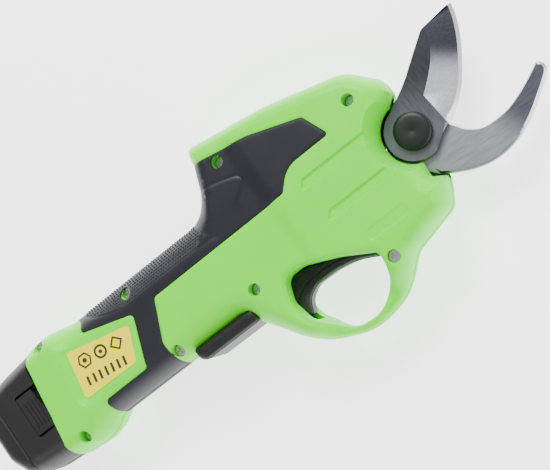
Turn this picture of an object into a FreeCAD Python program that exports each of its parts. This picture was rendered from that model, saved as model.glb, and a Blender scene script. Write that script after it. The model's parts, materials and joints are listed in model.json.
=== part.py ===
"""Battery electric pruner: a parametric FreeCAD document, one solid piece per node.

Pieces are drawn about the blade pivot, on the plane between the two housing halves: X runs forward
to the blades, Y to the thumb side and Z through the thickness. Each piece's Placement then moves the
pivot to its place, so that the tool lies on its left half with the origin at the bottom centre of
its box.
"""
import FreeCAD, Part
import math
import os
import Sketcher

from FreeCAD import Placement, Rotation, Vector

os.makedirs("parts", exist_ok=True)
doc = FreeCAD.newDocument("pruner")

# ---------------------------------------------------------------------------
# driving dimensions, in millimetres and degrees
# ---------------------------------------------------------------------------
SIZES = {
    # the tool as a whole
    "pivot_x": 92.75, "pivot_y": 0.65, "head_half": 24, "handle_half": 21.6, "wall": 2.2, "skin": 1.5,
    "edge_round": 4.5, "handle_round": 12, "fit_gap": 0.1, "running_gap": 0.06,
    "handle_top": 28.7, "handle_bottom": -22.0, "collar_flare": 2.9, "collar_front": -197,
    "collar_rear": -214, "guard_half": 10, "guard_round": 2.2,
    # blades and their pivot
    "blade_thick": 4.2, "blade_top": 3.0, "hook_thick": 3.8, "blade_gap": 0.1, "hub_dia": 28,
    "square_drive": 9, "bolt_dia": 6, "bush_outer": 16, "boss_dia": 12.8, "cap_dia": 17.8,
    "cap_height": 4.6,
    # drive train
    "drive_drop": 2.0, "bevel_module": 1.1, "pinion_teeth": 12, "sector_teeth": 36, "bevel_face": 5.2,
    "sector_from": 164, "sector_to": 251, "case_floor": 20.6, "shaft_dia": 6, "bearing_outer": 16,
    "bearing_wide": 5, "gear_module": 0.35, "sun_teeth": 18, "planet_teeth": 27, "ring_outer": 30.4,
    "stage_long": 7, "planet_pin": 1.6, "motor_dia": 24, "motor_long": 31,
    # trigger
    "trigger_x": -41.5, "trigger_y": -31.5, "trigger_half": 7.5, "trigger_pin": 4,
    # battery
    "cell_dia": 18.2, "cell_long": 65, "pack_wall": 1.1, "pack_rear": -250, "pack_axis": 2.75,
    "pack_front": -174,
}

sheet = doc.addObject("Spreadsheet::Sheet", "Sizes")
for row, (alias, value) in enumerate(SIZES.items(), start=1):
    sheet.set(f"A{row}", alias)
    sheet.set(f"B{row}", str(value))
    sheet.setAlias(f"B{row}", alias)
doc.recompute()


def size(alias):
    """The value of one cell of the sheet."""
    return float(getattr(sheet, alias))


MID = size("head_half")
PIVOT = Vector(size("pivot_x"), size("pivot_y"), MID)
DRIVE_Z = -size("drive_drop")
GAP = size("fit_gap")
RUN = size("running_gap")
FAR = 400.0

nodes = []


# ---------------------------------------------------------------------------
# drawing helpers
# ---------------------------------------------------------------------------
def keep(piece, label):
    """Name a finished document object as a node and move the pivot to its place."""
    piece.Label = label
    turned = piece.Placement
    piece.Placement = Placement(PIVOT + turned.Base, turned.Rotation)
    nodes.append(piece)
    return piece


def shaped(label, shape):
    """A node whose shape is made by code from the sheet's sizes."""
    piece = doc.addObject("Part::Feature", label)
    piece.Shape = shape
    return keep(piece, label)


def rounded(points):
    """Closed wire through (x, y, radius) corners, each rounded by a tangent arc."""
    spots = [Vector(x, y, 0) for x, y, _ in points]
    edges, ends = [], []
    count = len(points)
    for i, (_, _, radius) in enumerate(points):
        here = spots[i]
        back = spots[i - 1] - here
        ahead = spots[(i + 1) % count] - here
        half = back.getAngle(ahead) / 2
        back.normalize()
        ahead.normalize()
        if radius <= 0:
            ends.append((here, here))
            edges.append(None)
            continue
        reach = radius / math.tan(half)
        middle = (back + ahead).normalize() * (radius / math.sin(half) - radius)
        ends.append((here + back * reach, here + ahead * reach))
        edges.append(Part.Arc(ends[-1][0], here + middle, ends[-1][1]).toShape())
    chain = []
    for i in range(count):
        if edges[i]:
            chain.append(edges[i])
        start, stop = ends[i][1], ends[(i + 1) % count][0]
        if start.distanceToPoint(stop) > 1e-5:
            chain.append(Part.LineSegment(start, stop).toShape())
    return Part.Wire(Part.__sortEdges__(chain))


def slab(wire, low, high, inset=0.0):
    """A flat solid between two heights from a closed wire, inset all round if asked."""
    face = Part.Face(wire)
    if inset:
        face = face.makeOffset2D(-inset)
    face.translate(Vector(0, 0, low))
    return face.extrude(Vector(0, 0, high - low))


def soften(solid, radius, pick):
    """Fillet the edges that pick chooses."""
    chosen = [e for e in solid.Edges if pick(e)]
    return solid.makeFillet(radius, chosen) if chosen and radius > 0 else solid


def level(height):
    """Chooses edges that lie wholly at one height, on either side of the middle plane."""
    return lambda e: abs(abs(e.BoundBox.ZMin) - height) < 1e-4 and e.BoundBox.ZLength < 1e-4


def box(x0, x1, y0, y1, z0, z1):
    """A box between two corners."""
    return Part.makeBox(x1 - x0, y1 - y0, z1 - z0, Vector(x0, y0, z0))


def rod(radius, start, length, along=Vector(0, 0, 1)):
    """A cylinder from a point along a direction."""
    return Part.makeCylinder(radius, length, start, along)


def revolved(label, profile, along="Z", at=Vector(0, 0, 0)):
    """A PartDesign body turned from (radius, height) corners, each bound to the sheet.

    Each corner's numbers are expressions on the sheet's aliases, written with Sizes.
    """
    body = doc.addObject("PartDesign::Body", label + "_body")
    plane = next(f for f in body.Origin.OriginFeatures if f.Role == "XZ_Plane")
    sketch = body.newObject("Sketcher::SketchObject", label + "_sketch")
    sketch.AttachmentSupport = (plane, [""])
    sketch.MapMode = "FlatFace"
    numbers = [(evaluate(r), evaluate(z)) for r, z in profile]
    count = len(numbers)
    for i, (r, z) in enumerate(numbers):
        nr, nz = numbers[(i + 1) % count]
        sketch.addGeometry(Part.LineSegment(Vector(r, z, 0), Vector(nr, nz, 0)), False)
    for i in range(count):
        sketch.addConstraint(joined(i, (i + 1) % count))
    for i, (r, z) in enumerate(profile):
        for kind, text, number in (("DistanceX", r, numbers[i][0]), ("DistanceY", z, numbers[i][1])):
            place = sketch.addConstraint(placed(kind, i, number))
            if "Sizes" in text:
                sketch.setExpression(f"Constraints[{place}]", text)
    turn = body.newObject("PartDesign::Revolution", label + "_turn")
    turn.Profile = sketch
    turn.ReferenceAxis = (sketch, ["V_Axis"])
    turn.Angle = 360
    body.Tip = turn
    doc.recompute()
    body.Placement = Placement(at, {"Z": Rotation(), "X": Rotation(Vector(0, 1, 0), 90)}[along])
    return body


def joined(first, second):
    """Constraint that puts the end of one line on the start of the next."""
    return Sketcher.Constraint("Coincident", first, 2, second, 1)


def placed(kind, line, number):
    """Constraint for the distance of a line's start from the sketch origin."""
    return Sketcher.Constraint(kind, -1, 1, line, 1, number)


def evaluate(text):
    """The number that an expression on the sheet gives."""
    for alias in sorted(SIZES, key=len, reverse=True):
        text = text.replace(f"Sizes.{alias}", f"({size(alias)})")
    probe = doc.addObject("App::FeaturePython", "probe")
    probe.addProperty("App::PropertyFloat", "Answer")
    probe.setExpression("Answer", text)
    probe.recompute()
    answer = probe.Answer
    doc.removeObject(probe.Name)
    return answer




# ---------------------------------------------------------------------------
# outer form of the tool: head, guard, handle and collar
# ---------------------------------------------------------------------------
HEAD = [(-94, 50.2, 4.6), (-91.5, 60.6, 4.6), (-12, 42.2, 18), (4.6, 29, 12), (1.4, -29.5, 10), (-5, -38.2, 8),
        (-33, -46.5, 9), (-44, -46, 6), (-43, -34.6, 5), (-60, -26, 30), (-81, -17.5, 8.5), (-90.5, -27, 7),
        (-86.5, -43, 4.8), (-95, -48, 6), (-107.5, -28, 14), (-113, -9, 14), (-122, 28.7, 6), (-104.5, 28.7, 14)]
GUARD = [(-113, -5, 10), (-108, -36, 26), (-89, -62, 30), (-45, -64.2, 30), (-28, -38, 8), (-40, -5, 10)]
LOOP = [(-44, -36.5, 7), (-46.5, -51, 12), (-68, -61, 16), (-90, -44, 16), (-90.5, -27, 9), (-80, -16, 9),
        (-60, -23.5, 30)]
DEEP, SHALLOW = 12.0, 18.0
SCREWS = {"front": (-13.3, 26.2, DEEP), "waist": (-99.2, -15.4, DEEP), "guard": (-38.4, -41.6, SHALLOW),
          "hood": (-78.3, 42, DEEP), "grip": (-151.6, 20.8, DEEP), "belly": (-146.8, -15.8, DEEP),
          "collar_top": (-203, 26.2, DEEP), "collar_low": (-208, -21.4, DEEP)}
HANDLE_FRONT = -100.0
COLLAR_RAMP = 11.0


def tube_form(x0, x1, top, bottom, half, round_, top1=None, bottom1=None, half1=None):
    """A rounded box section lofted straight along X from x0 to x1."""
    def section(x, top, bottom, half, radius):
        corners = [(bottom, -half, radius), (top, -half, radius), (top, half, radius), (bottom, half, radius)]
        wire = rounded(corners)
        wire.Placement = Placement(Vector(x, 0, 0), Rotation(Vector(0, 1, 0), Vector(0, 0, 1), Vector(1, 0, 0),
                                                             "ZXY"))
        return wire
    ends = [section(x0, top, bottom, half, round_),
            section(x1, top1 or top, bottom1 or bottom, half1 or half, round_)]
    return Part.makeLoft(ends, True, True)


def handle_form(inset, with_collar=True):
    """Handle and flared rear collar, inset all round."""
    top, bottom = size("handle_top") - inset, size("handle_bottom") + inset
    half, bend = size("handle_half") - inset, size("handle_round") - inset
    flare, front = size("collar_flare"), size("collar_front")
    form = tube_form(front + COLLAR_RAMP, HANDLE_FRONT, top, bottom, half, bend)
    if not with_collar:
        return form
    wide = size("head_half") - size("handle_half")
    form = form.fuse(tube_form(front, front + COLLAR_RAMP, top + flare, bottom - flare, half + wide, bend,
                               top, bottom, half))
    rear = tube_form(size("collar_rear") - 3, front, top + flare, bottom - flare - 1.4, half + wide, bend,
                     top + flare, bottom - flare, half + wide)
    slope = Part.makeBox(60, 200, 200, Vector(-60, -100, -100))
    slope.Placement = Placement(Vector(size("collar_rear") + inset, 0, 0), Rotation(Vector(0, 0, 1), 7))
    return form.fuse(rear.cut(slope)).removeSplitter()


def head_form(inset):
    """Head with its hood, flat on both sides and rounded along the rims."""
    half = size("head_half") - inset
    solid = slab(rounded(HEAD), -half, half, inset)
    return soften(solid, size("edge_round") - inset, level(half))


def guard_form():
    """Loop in front of the fingers."""
    half, bend = size("guard_half"), size("guard_round")
    solid = slab(rounded(GUARD), -half, half)
    solid = solid.cut(slab(rounded(LOOP), -half - 1, half + 1))
    return soften(solid, bend, lambda e: level(half)(e))


def outer_form(inset=0.0):
    """Whole body outside; with an inset, the layer that far below it."""
    form = handle_form(inset).fuse(head_form(inset))
    if inset == 0.0:
        form = form.fuse(guard_form())
    return form


def full(points):
    """Prism through the whole thickness over an outline."""
    return slab(rounded(points), -FAR / 4, FAR / 4)


# ---------------------------------------------------------------------------
# blades, hub and pivot
# ---------------------------------------------------------------------------
BLADE_TOP = size("blade_top")
BLADE_LOW = BLADE_TOP - size("blade_thick")
HOOK_TOP = BLADE_LOW - size("blade_gap")
HOOK_LOW = HOOK_TOP - size("hook_thick")
HUB = size("hub_dia") / 2


def curve(points):
    """Smooth edge through points."""
    line = Part.BSplineCurve()
    line.interpolate([Vector(x, y, 0) for x, y in points])
    return line.toShape()


def straight(points):
    """Straight edges through points."""
    spots = [Vector(x, y, 0) for x, y in points]
    return [Part.LineSegment(a, b).toShape() for a, b in zip(spots, spots[1:])]


def closed(edges):
    """Face inside a ring of edges."""
    return Part.Face(Part.Wire(Part.__sortEdges__(edges)))


CUTTING_EDGE = [(48.3, 36.5), (46.2, 29.4), (41.8, 20.4), (36.3, 12.2), (30.8, 5.2), (25.8, 0.2), (20.6, -3.5),
                (15, -6.7)]
GRIND_LINE = [(15, -6.7), (13.6, -2.4), (14, 10.2)]
GRIND_CURVE = [(14, 10.2), (21.5, 16.4), (27.4, 23.4), (31, 29.6), (33.2, 34.9)]


def moving_blade():
    """Curved blade with its hub, ground to an edge on the face away from the hook."""
    low, high = polar(HUB, -77), polar(HUB, 107)
    spine = [(high.x, high.y), (3.6, 17), (10.2, 20.7), (20, 27.6), (30.3, 34.8)]
    hub = Part.Arc(low, Vector(-HUB, 0, 0), high).toShape()
    edges = [curve(CUTTING_EDGE), hub, curve(spine)]
    edges += straight([(30.3, 34.8), (48.3, 36.5)]) + straight([(15, -6.7), (10.3, -8.7), (low.x, low.y)])
    body = closed(edges).extrude(Vector(0, 0, size("blade_thick")))
    rim = closed([curve(CUTTING_EDGE)] + straight(GRIND_LINE) + [curve(GRIND_CURVE)]
                 + straight([(33.2, 34.9), (48.3, 36.5)]))
    slope = math.atan2(size("blade_thick") - 1.1, 20)
    grind = rim.extrude(Vector(0, 0, size("blade_thick")))
    tilted = Part.makeBox(120, 120, 40, Vector(-60, 0, 0))
    tilted.Placement = Placement(Vector(14.6, -1, size("blade_thick") - 0.2),
                                 Rotation(Vector(0, 0, 1), -130).multiply(Rotation(Vector(1, 0, 0),
                                                                                   -math.degrees(slope))))
    body = body.cut(grind.common(tilted))
    side = size("square_drive") + 2 * RUN
    body = body.cut(box(-side / 2, side / 2, -side / 2, side / 2, -1, 9))
    body.translate(Vector(0, 0, BLADE_LOW))
    return body


def hook_blade():
    """Fixed hooked anvil blade with the ring that sits on the gear case."""
    inner = [(14.8, -6.9), (16.6, -9.5), (19, -12.9), (24.5, -16.9), (31.5, -18.1), (40.3, -17.4),
             (50, -14.2), (58, -10.5), (61.6, -8.6)]
    outer = [(64.2, -12.9), (62.2, -15.6), (55, -20.8), (44, -27.6), (33, -31.8), (22, -32.6), (12, -30.3),
             (3.5, -26.2), (-2, -22.7)]
    tip = Part.Arc(Vector(61.6, -8.6, 0), Vector(63.9, -10.2, 0), Vector(64.2, -12.9, 0)).toShape()
    edges = [curve(inner), tip, curve(outer)]
    edges += straight([(-2, -22.7), (-12.5, -21.6), (-12.5, -9), (0, 0), (14.8, -6.9)])
    plate = closed(edges).extrude(Vector(0, 0, size("hook_thick")))
    plate = plate.fuse(rod(HUB - 0.2, Vector(0, 0, 0), size("hook_thick")))
    plate = plate.cut(rod(size("bush_outer") / 2, Vector(0, 0, -1), 9))
    for turn in HOOK_SCREWS:
        spot = polar(HOOK_SCREW_R, turn)
        plate = plate.cut(rod(1.6, spot + Vector(0, 0, -1), 9))
        plate = plate.cut(Part.makeCone(1.6, 3.15, 1.75, spot + Vector(0, 0, size("hook_thick") - 1.75)))
    plate.translate(Vector(0, 0, HOOK_LOW))
    return plate.removeSplitter()


def polar(radius, degrees, height=0.0):
    """Point at a radius and angle about the pivot."""
    turn = math.radians(degrees)
    return Vector(radius * math.cos(turn), radius * math.sin(turn), height)


HOOK_SCREW_R = 10.9
HOOK_SCREWS = (-72, 0, 72)
CASE_TOP = HOOK_LOW
FLOOR_LOW = -size("case_floor")
FLOOR_TOP = FLOOR_LOW + 2.4

shaped("moving_blade", moving_blade())
shaped("hook_blade", hook_blade())

screws = []
for turn in HOOK_SCREWS:
    spot = polar(HOOK_SCREW_R, turn)
    head = Part.makeCone(1.5, 3.0, 1.7, spot + Vector(0, 0, HOOK_TOP - 1.8))
    recess = Part.makePolygon([polar(0.85, a) for a in range(0, 420, 60)])
    recess = Part.Face(recess).extrude(Vector(0, 0, 1.2))
    recess.translate(spot + Vector(0, 0, HOOK_TOP - 1.2))
    screws.append(head.fuse(rod(1.5, spot + Vector(0, 0, HOOK_TOP - 9), 7.4)).cut(recess))
shaped("hook_screws", Part.makeCompound(screws))

keep(revolved("pivot_bushing",
              [("Sizes.boss_dia / 2 + Sizes.running_gap", "0"), ("Sizes.bush_outer / 2", "0"),
               ("Sizes.bush_outer / 2", "Sizes.hook_thick"),
               ("Sizes.boss_dia / 2 + Sizes.running_gap", "Sizes.hook_thick")],
              at=Vector(0, 0, HOOK_LOW)), "pivot_bushing")

keep(revolved("pivot_bolt",
              [("0", "Sizes.blade_top + 2.4"), ("5.2", "Sizes.blade_top + 2.4"), ("6.4", "Sizes.blade_top + 1.2"),
               ("6.4", "Sizes.blade_top + 0.1"), ("Sizes.bolt_dia / 2", "Sizes.blade_top + 0.1"),
               ("Sizes.bolt_dia / 2", "-Sizes.case_floor - 0.4"), ("0", "-Sizes.case_floor - 0.4")]),
     "pivot_bolt")
keep(revolved("pivot_cap",
              [("0", "Sizes.blade_top + 2.5"), ("6.6", "Sizes.blade_top + 2.5"), ("6.6", "Sizes.blade_top + 0.15"),
               ("Sizes.cap_dia / 2", "Sizes.blade_top + 0.15"),
               ("Sizes.cap_dia / 2", "Sizes.blade_top + Sizes.cap_height - 1.4"),
               ("Sizes.cap_dia / 2 - 1.4", "Sizes.blade_top + Sizes.cap_height - 0.3"),
               ("0", "Sizes.blade_top + Sizes.cap_height")]), "pivot_cap")
nut = Part.Face(Part.makePolygon([polar(5.77, a) for a in range(0, 420, 60)])).extrude(Vector(0, 0, 2.2))
nut.translate(Vector(0, 0, FLOOR_LOW - 0.2))
shaped("pivot_nut", nut.cut(rod(size("bolt_dia") / 2, Vector(0, 0, FLOOR_LOW - 1), 6)))

# ---------------------------------------------------------------------------
# bevel drive: sector on the blade hub, pinion on the gearbox shaft
# ---------------------------------------------------------------------------
MODULE = size("bevel_module")
PINION_R = MODULE * size("pinion_teeth") / 2
SECTOR_R = MODULE * size("sector_teeth") / 2
CONE_LONG = math.hypot(PINION_R, SECTOR_R)
PINION_HALF = math.degrees(math.atan2(PINION_R, SECTOR_R))
APEX = Vector(0, 0, DRIVE_Z)
ADDENDUM, DEDENDUM, BACKLASH = 0.85, 1.2, 0.12
PRESSURE = math.radians(20)


def involute(angle):
    """Involute function of a pressure angle."""
    return math.tan(angle) - angle


def gap_half_angle(radius, pitch_r, teeth, slack):
    """Half the angle of the gap between two teeth of a spur gear, at a radius."""
    base = pitch_r * math.cos(PRESSURE)
    pressure = math.acos(min(1.0, base / max(radius, base)))
    tooth = math.pi / (2 * teeth) + involute(PRESSURE) - involute(pressure) - slack / pitch_r
    return math.pi / teeth - tooth


def bevel_gap(pitch_r, half_cone, teeth):
    """Outline of a tooth gap on the back cone, as (across, up) pairs from the pitch point."""
    virtual_r = pitch_r / math.cos(half_cone)
    virtual_teeth = teeth / math.cos(half_cone)
    side = []
    for rise in (-DEDENDUM, -0.4, 0.3, ADDENDUM + 0.35):
        radius = virtual_r + rise * MODULE
        half = gap_half_angle(radius, virtual_r, virtual_teeth, BACKLASH / 2)
        side.append((radius * math.sin(half), radius * math.cos(half) - virtual_r))
    return side + [(-across, up) for across, up in reversed(side)]


def bevel_cutter(pitch_r, half_cone, teeth):
    """Solid of one tooth gap, drawn towards the apex at the origin, gear axis along Z."""
    wires = []
    for scale in (1.12, 0.6):
        spots = []
        for across, up in bevel_gap(pitch_r, half_cone, teeth):
            along = CONE_LONG * math.cos(half_cone)
            spot = Vector(pitch_r + up * math.cos(half_cone), across, along - up * math.sin(half_cone))
            spots.append(spot * scale)
        wires.append(Part.makePolygon(spots + spots[:1]))
    return Part.makeLoft(wires, True, True)


def cone_blank(pitch_r, half_cone):
    """Turned bevel blank about Z with its apex at the origin, opening towards +Z."""
    inner = (CONE_LONG - size("bevel_face")) / CONE_LONG
    up, down = ADDENDUM * MODULE, (DEDENDUM + 1.0) * MODULE

    def rim(scale, rise):
        along = CONE_LONG * math.cos(half_cone)
        return Vector((pitch_r + rise * math.cos(half_cone)) * scale, 0,
                      (along - rise * math.sin(half_cone)) * scale)
    return rim(1, up), rim(inner, up), rim(inner, -down), rim(1, -down)


def sector_gear():
    """Toothed sector with its square-topped boss, below the drive axis."""
    cone = math.pi / 2 - math.radians(PINION_HALF)
    outer_top, inner_top, inner_low, outer_low = cone_blank(SECTOR_R, cone)
    web = outer_low.z + 3.2
    ring = [outer_top, inner_top, inner_low, Vector(4, 0, inner_low.z), Vector(4, 0, web),
            Vector(outer_low.x, 0, web), outer_low, outer_top]
    blank = Part.Face(Part.makePolygon(ring)).revolve(Vector(0, 0, 0), Vector(0, 0, 1), 360)
    start, stop = size("sector_from"), size("sector_to")
    wedge = Part.makeCylinder(40, 60, Vector(0, 0, -10), Vector(0, 0, 1), stop - start)
    wedge.rotate(Vector(0, 0, 0), Vector(0, 0, 1), -stop)
    blank = blank.common(wedge)
    cutter = bevel_cutter(SECTOR_R, cone, size("sector_teeth"))
    pitch = 360 / size("sector_teeth")
    first = math.ceil((start - 180) / pitch)
    last = math.floor((stop - 180) / pitch)
    for k in range(first, last + 1):
        gap = cutter.copy()
        gap.rotate(Vector(0, 0, 0), Vector(0, 0, 1), -(180 + k * pitch))
        blank = blank.cut(gap)
    boss = rod(size("boss_dia") / 2, Vector(0, 0, 0), web)
    blank = blank.fuse(boss)
    blank.rotate(Vector(0, 0, 0), Vector(1, 0, 0), 180)
    blank.translate(APEX)
    top = rod(size("boss_dia") / 2, Vector(0, 0, DRIVE_Z - 0.5), BLADE_LOW - GAP - DRIVE_Z + 0.5)
    blank = blank.cut(box(-9, 9, -9, 9, BLADE_LOW - 0.01, 9)).fuse(top)
    low = FLOOR_TOP + 0.3
    blank = blank.fuse(rod(5.6, Vector(0, 0, low), APEX.z - web - low + 1))
    side = size("square_drive")
    blank = blank.fuse(box(-side / 2, side / 2, -side / 2, side / 2, BLADE_LOW - 1, BLADE_TOP))
    return blank.cut(rod(size("bolt_dia") / 2 + RUN, Vector(0, 0, -60), 80)).removeSplitter()


PINION_OUT = -(SECTOR_R + 1.2)
SHAFT_STOP = -35.0


def bevel_pinion():
    """Small bevel gear in one piece with its shaft, axis along X."""
    cone = math.radians(PINION_HALF)
    outer_top, inner_top, inner_low, outer_low = cone_blank(PINION_R, cone)
    back = -PINION_OUT
    ring = [outer_top, inner_top, Vector(0, 0, inner_top.z), Vector(0, 0, back + 2.4),
            Vector(4.4, 0, back + 2.4), Vector(4.4, 0, back), Vector(outer_top.x - 1.2, 0, back), outer_top]
    solid = Part.Face(Part.makePolygon(ring)).revolve(Vector(0, 0, 0), Vector(0, 0, 1), 360)
    cutter = bevel_cutter(PINION_R, cone, size("pinion_teeth"))
    pitch = 360 / size("pinion_teeth")
    for k in range(int(size("pinion_teeth"))):
        gap = cutter.copy()
        gap.rotate(Vector(0, 0, 0), Vector(0, 0, 1), (k + 0.5) * pitch)
        solid = solid.cut(gap)
    solid = solid.fuse(rod(size("shaft_dia") / 2, Vector(0, 0, back), -SHAFT_STOP - back))
    solid.rotate(Vector(0, 0, 0), Vector(0, 1, 0), -90)
    solid.translate(APEX)
    return solid.removeSplitter()


shaped("bevel_sector", sector_gear())
shaped("bevel_pinion", bevel_pinion())

# ---------------------------------------------------------------------------
# two planetary stages, from the pinion shaft back to the motor
# ---------------------------------------------------------------------------
SMALL = size("gear_module")
SUN_R = SMALL * size("sun_teeth") / 2
PLANET_R = SMALL * size("planet_teeth") / 2
ORBIT = SUN_R + PLANET_R
RING_TEETH = size("sun_teeth") + 2 * size("planet_teeth")
RING_R = SMALL * RING_TEETH / 2
TEETH_WIDE = 5.0
PLATE = 2.0


def gear_face(teeth, inner=False):
    """Face bounded by a spur gear outline; for a ring gear, the outline of its bore."""
    pitch_r = SMALL * teeth / 2
    rises = (-DEDENDUM, -0.5, 0.2, ADDENDUM) if not inner else (DEDENDUM, 0.5, -0.2, -ADDENDUM)
    slack = -0.05 if inner else 0.05
    edges, first, last = [], None, None
    for k in range(int(teeth)):
        flank = []
        for rise in rises:
            radius = pitch_r + rise * SMALL
            half = gap_half_angle(radius, pitch_r, teeth, slack)
            half = half if not inner else math.pi / teeth - half
            flank.append((radius, half))
        here = (2 * k if not inner else 2 * k + 1) * math.pi / teeth
        tooth = []
        for radius, half in flank:
            turn = here - (math.pi / teeth - half)
            tooth.append(Vector(radius * math.cos(turn), radius * math.sin(turn), 0))
        mirror = []
        for radius, half in reversed(flank):
            turn = here + (math.pi / teeth - half)
            mirror.append(Vector(radius * math.cos(turn), radius * math.sin(turn), 0))
        outline = tooth + mirror
        if last is not None:
            edges.append(Part.LineSegment(last, outline[0]).toShape())
        else:
            first = outline[0]
        for a, b in zip(outline, outline[1:]):
            edges.append(Part.LineSegment(a, b).toShape())
        last = outline[-1]
    edges.append(Part.LineSegment(last, first).toShape())
    return Part.Face(Part.Wire(edges))


def along_drive(shape, x, turn=0.0, sideways=Vector(0, 0, 0)):
    """Stands a shape drawn about Z onto the drive axis, its Z towards the rear, and turns it."""
    shape = shape.copy()
    shape.rotate(Vector(0, 0, 0), Vector(0, 0, 1), turn)
    shape.translate(sideways)
    shape.rotate(Vector(0, 0, 0), Vector(0, 1, 0), -90)
    shape.translate(Vector(x, 0, DRIVE_Z))
    return shape


STAGES = {}
START = SHAFT_STOP - 1.0
for order, name in enumerate(("output", "input")):
    front = START - order * (size("stage_long") + PLATE + 0.5)
    STAGES[name] = front
    orbit = [polar(ORBIT, a) for a in (0, 120, 240)]
    plate = rod(ORBIT + 3.2, Vector(0, 0, 0), PLATE)
    bore = size("shaft_dia") / 2 if name == "output" else 0
    if bore:
        plate = plate.cut(rod(bore, Vector(0, 0, -1), 9))
    pins = Part.makeCompound([rod(size("planet_pin") / 2, p, PLATE + 0.3 + TEETH_WIDE) for p in orbit])
    for p in orbit:
        plate = plate.cut(rod(size("planet_pin") / 2, p + Vector(0, 0, -1), 9))
    if name == "input":
        sun = gear_face(size("sun_teeth")).extrude(Vector(0, 0, TEETH_WIDE + 0.2))
        sun.translate(Vector(0, 0, -TEETH_WIDE - 0.2))
        plate = plate.fuse(sun).fuse(rod(2.2, Vector(0, 0, -0.5), 1)).removeSplitter()
    shaped(f"{name}_carrier", along_drive(plate, front))
    shaped(f"{name}_planet_pins", along_drive(pins, front))
    for k, p in enumerate(orbit):
        wheel = gear_face(size("planet_teeth")).extrude(Vector(0, 0, TEETH_WIDE))
        wheel = wheel.cut(rod(size("planet_pin") / 2 + RUN, Vector(0, 0, -1), 9))
        turn = 120 * k + 180 + 180 / size("planet_teeth")
        shaped(f"{name}_planet_{k + 1}", along_drive(wheel, front - PLATE - 0.2, turn, p))

RING_FRONT = START + 1.5
RING_BACK = STAGES["input"] - PLATE - TEETH_WIDE - 1.2
ring_long = RING_FRONT - RING_BACK
ring = rod(size("ring_outer") / 2, Vector(0, 0, 0), ring_long)
ring = ring.cut(gear_face(RING_TEETH, True).extrude(Vector(0, 0, ring_long + 2)).translated(Vector(0, 0, -1)))
shaped("ring_gear", along_drive(ring, RING_FRONT))

# gear case: floor, nose that carries the hook, bearing block and gearbox flange
BLOCK_FRONT, BLOCK_BACK = -24.6, RING_FRONT
BEARING_X = -25.0
floor = slab(rounded([(-4, 18.5, 3), (-4, -18.5, 3), (-34, -19.5, 4), (-34, 19.5, 4)]), FLOOR_LOW, FLOOR_TOP)
nose = rod(HUB - 0.2, Vector(0, 0, FLOOR_LOW), CASE_TOP - FLOOR_LOW)
pocket = rod(8.3, Vector(0, 0, FLOOR_TOP), 40)
swept = Part.makeCylinder(30, 40, Vector(0, 0, FLOOR_TOP), Vector(0, 0, 1), 176)
swept.rotate(Vector(0, 0, 0), Vector(0, 0, 1), 92)
case = floor.fuse(nose).cut(pocket).cut(swept.fuse(pocket))
block = box(BLOCK_BACK, BLOCK_FRONT, -13, 13, FLOOR_LOW, 13.2)
case = case.fuse(block.cut(rod(30, Vector(-80, 0, DRIVE_Z), 30, Vector(1, 0, 0))))
case = case.cut(rod(size("bearing_outer") / 2, Vector(BLOCK_BACK - 1, 0, DRIVE_Z), 40, Vector(1, 0, 0)))
case = case.cut(rod(size("bolt_dia") / 2 + GAP, Vector(0, 0, -40), 60))
case = case.cut(rod(6.2, Vector(0, 0, FLOOR_LOW - 1), 1))
case = case.cut(Part.Face(Part.makePolygon([polar(5.9, a) for a in range(0, 420, 60)])).extrude(
    Vector(0, 0, 2.3)).translated(Vector(0, 0, FLOOR_LOW - 0.3)))
for turn in HOOK_SCREWS:
    case = case.cut(rod(1.5, polar(HOOK_SCREW_R, turn, -12), 10))
shaped("gear_case", case.removeSplitter())

for k, x in enumerate((BEARING_X, BEARING_X - size("bearing_wide") - 0.3)):
    label = f"pinion_bearing_{k + 1}"
    keep(revolved(label,
                  [("Sizes.shaft_dia / 2", "0"), ("Sizes.bearing_outer / 2", "0"),
                   ("Sizes.bearing_outer / 2", "Sizes.bearing_wide"),
                   ("Sizes.shaft_dia / 2", "Sizes.bearing_wide")],
                  along="X", at=Vector(x - size("bearing_wide"), 0, DRIVE_Z)), label)

# motor: can with mounting face, stator, rotor with shaft and sun, end bell
M_FRONT, M_R = RING_BACK, size("motor_dia") / 2
M_LONG = size("motor_long")
flange = rod(size("ring_outer") / 2, Vector(0, 0, 0), 2.4).cut(rod(4.6, Vector(0, 0, -1), 9))
can = rod(M_R, Vector(0, 0, 2.4), M_LONG).cut(rod(M_R - 0.8, Vector(0, 0, 2.4), M_LONG + 1))
shaped("motor_can", along_drive(flange.fuse(can).removeSplitter(), M_FRONT))
stator = rod(M_R - 0.8, Vector(0, 0, 6.5), 19).cut(rod(6.3, Vector(0, 0, 0), 40))
for k in range(6):
    slot = box(-1.1, 1.1, 5, 9.6, 0, 40)
    slot.rotate(Vector(0, 0, 0), Vector(0, 0, 1), 60 * k)
    stator = stator.cut(slot)
shaped("motor_stator", along_drive(stator, M_FRONT))
SHAFT_R = 1.5
magnet = rod(5.9, Vector(0, 0, 6.5), 19).cut(rod(SHAFT_R, Vector(0, 0, 0), 40))
shaped("rotor_magnet", along_drive(magnet, M_FRONT))
shaft = rod(SHAFT_R, Vector(0, 0, -0.4), M_LONG - 1)
sun = gear_face(size("sun_teeth")).extrude(Vector(0, 0, TEETH_WIDE + 0.5))
sun.translate(Vector(0, 0, -TEETH_WIDE - 0.8))
shaped("rotor_shaft", along_drive(shaft.fuse(sun).removeSplitter(), M_FRONT))
bell = rod(M_R - 0.8, Vector(0, 0, M_LONG - 1.0), 3.2).cut(rod(SHAFT_R + RUN, Vector(0, 0, 0), 60))
shaped("motor_end_bell", along_drive(bell, M_FRONT))
MOTOR_BACK = M_FRONT - M_LONG - 2.4

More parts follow.
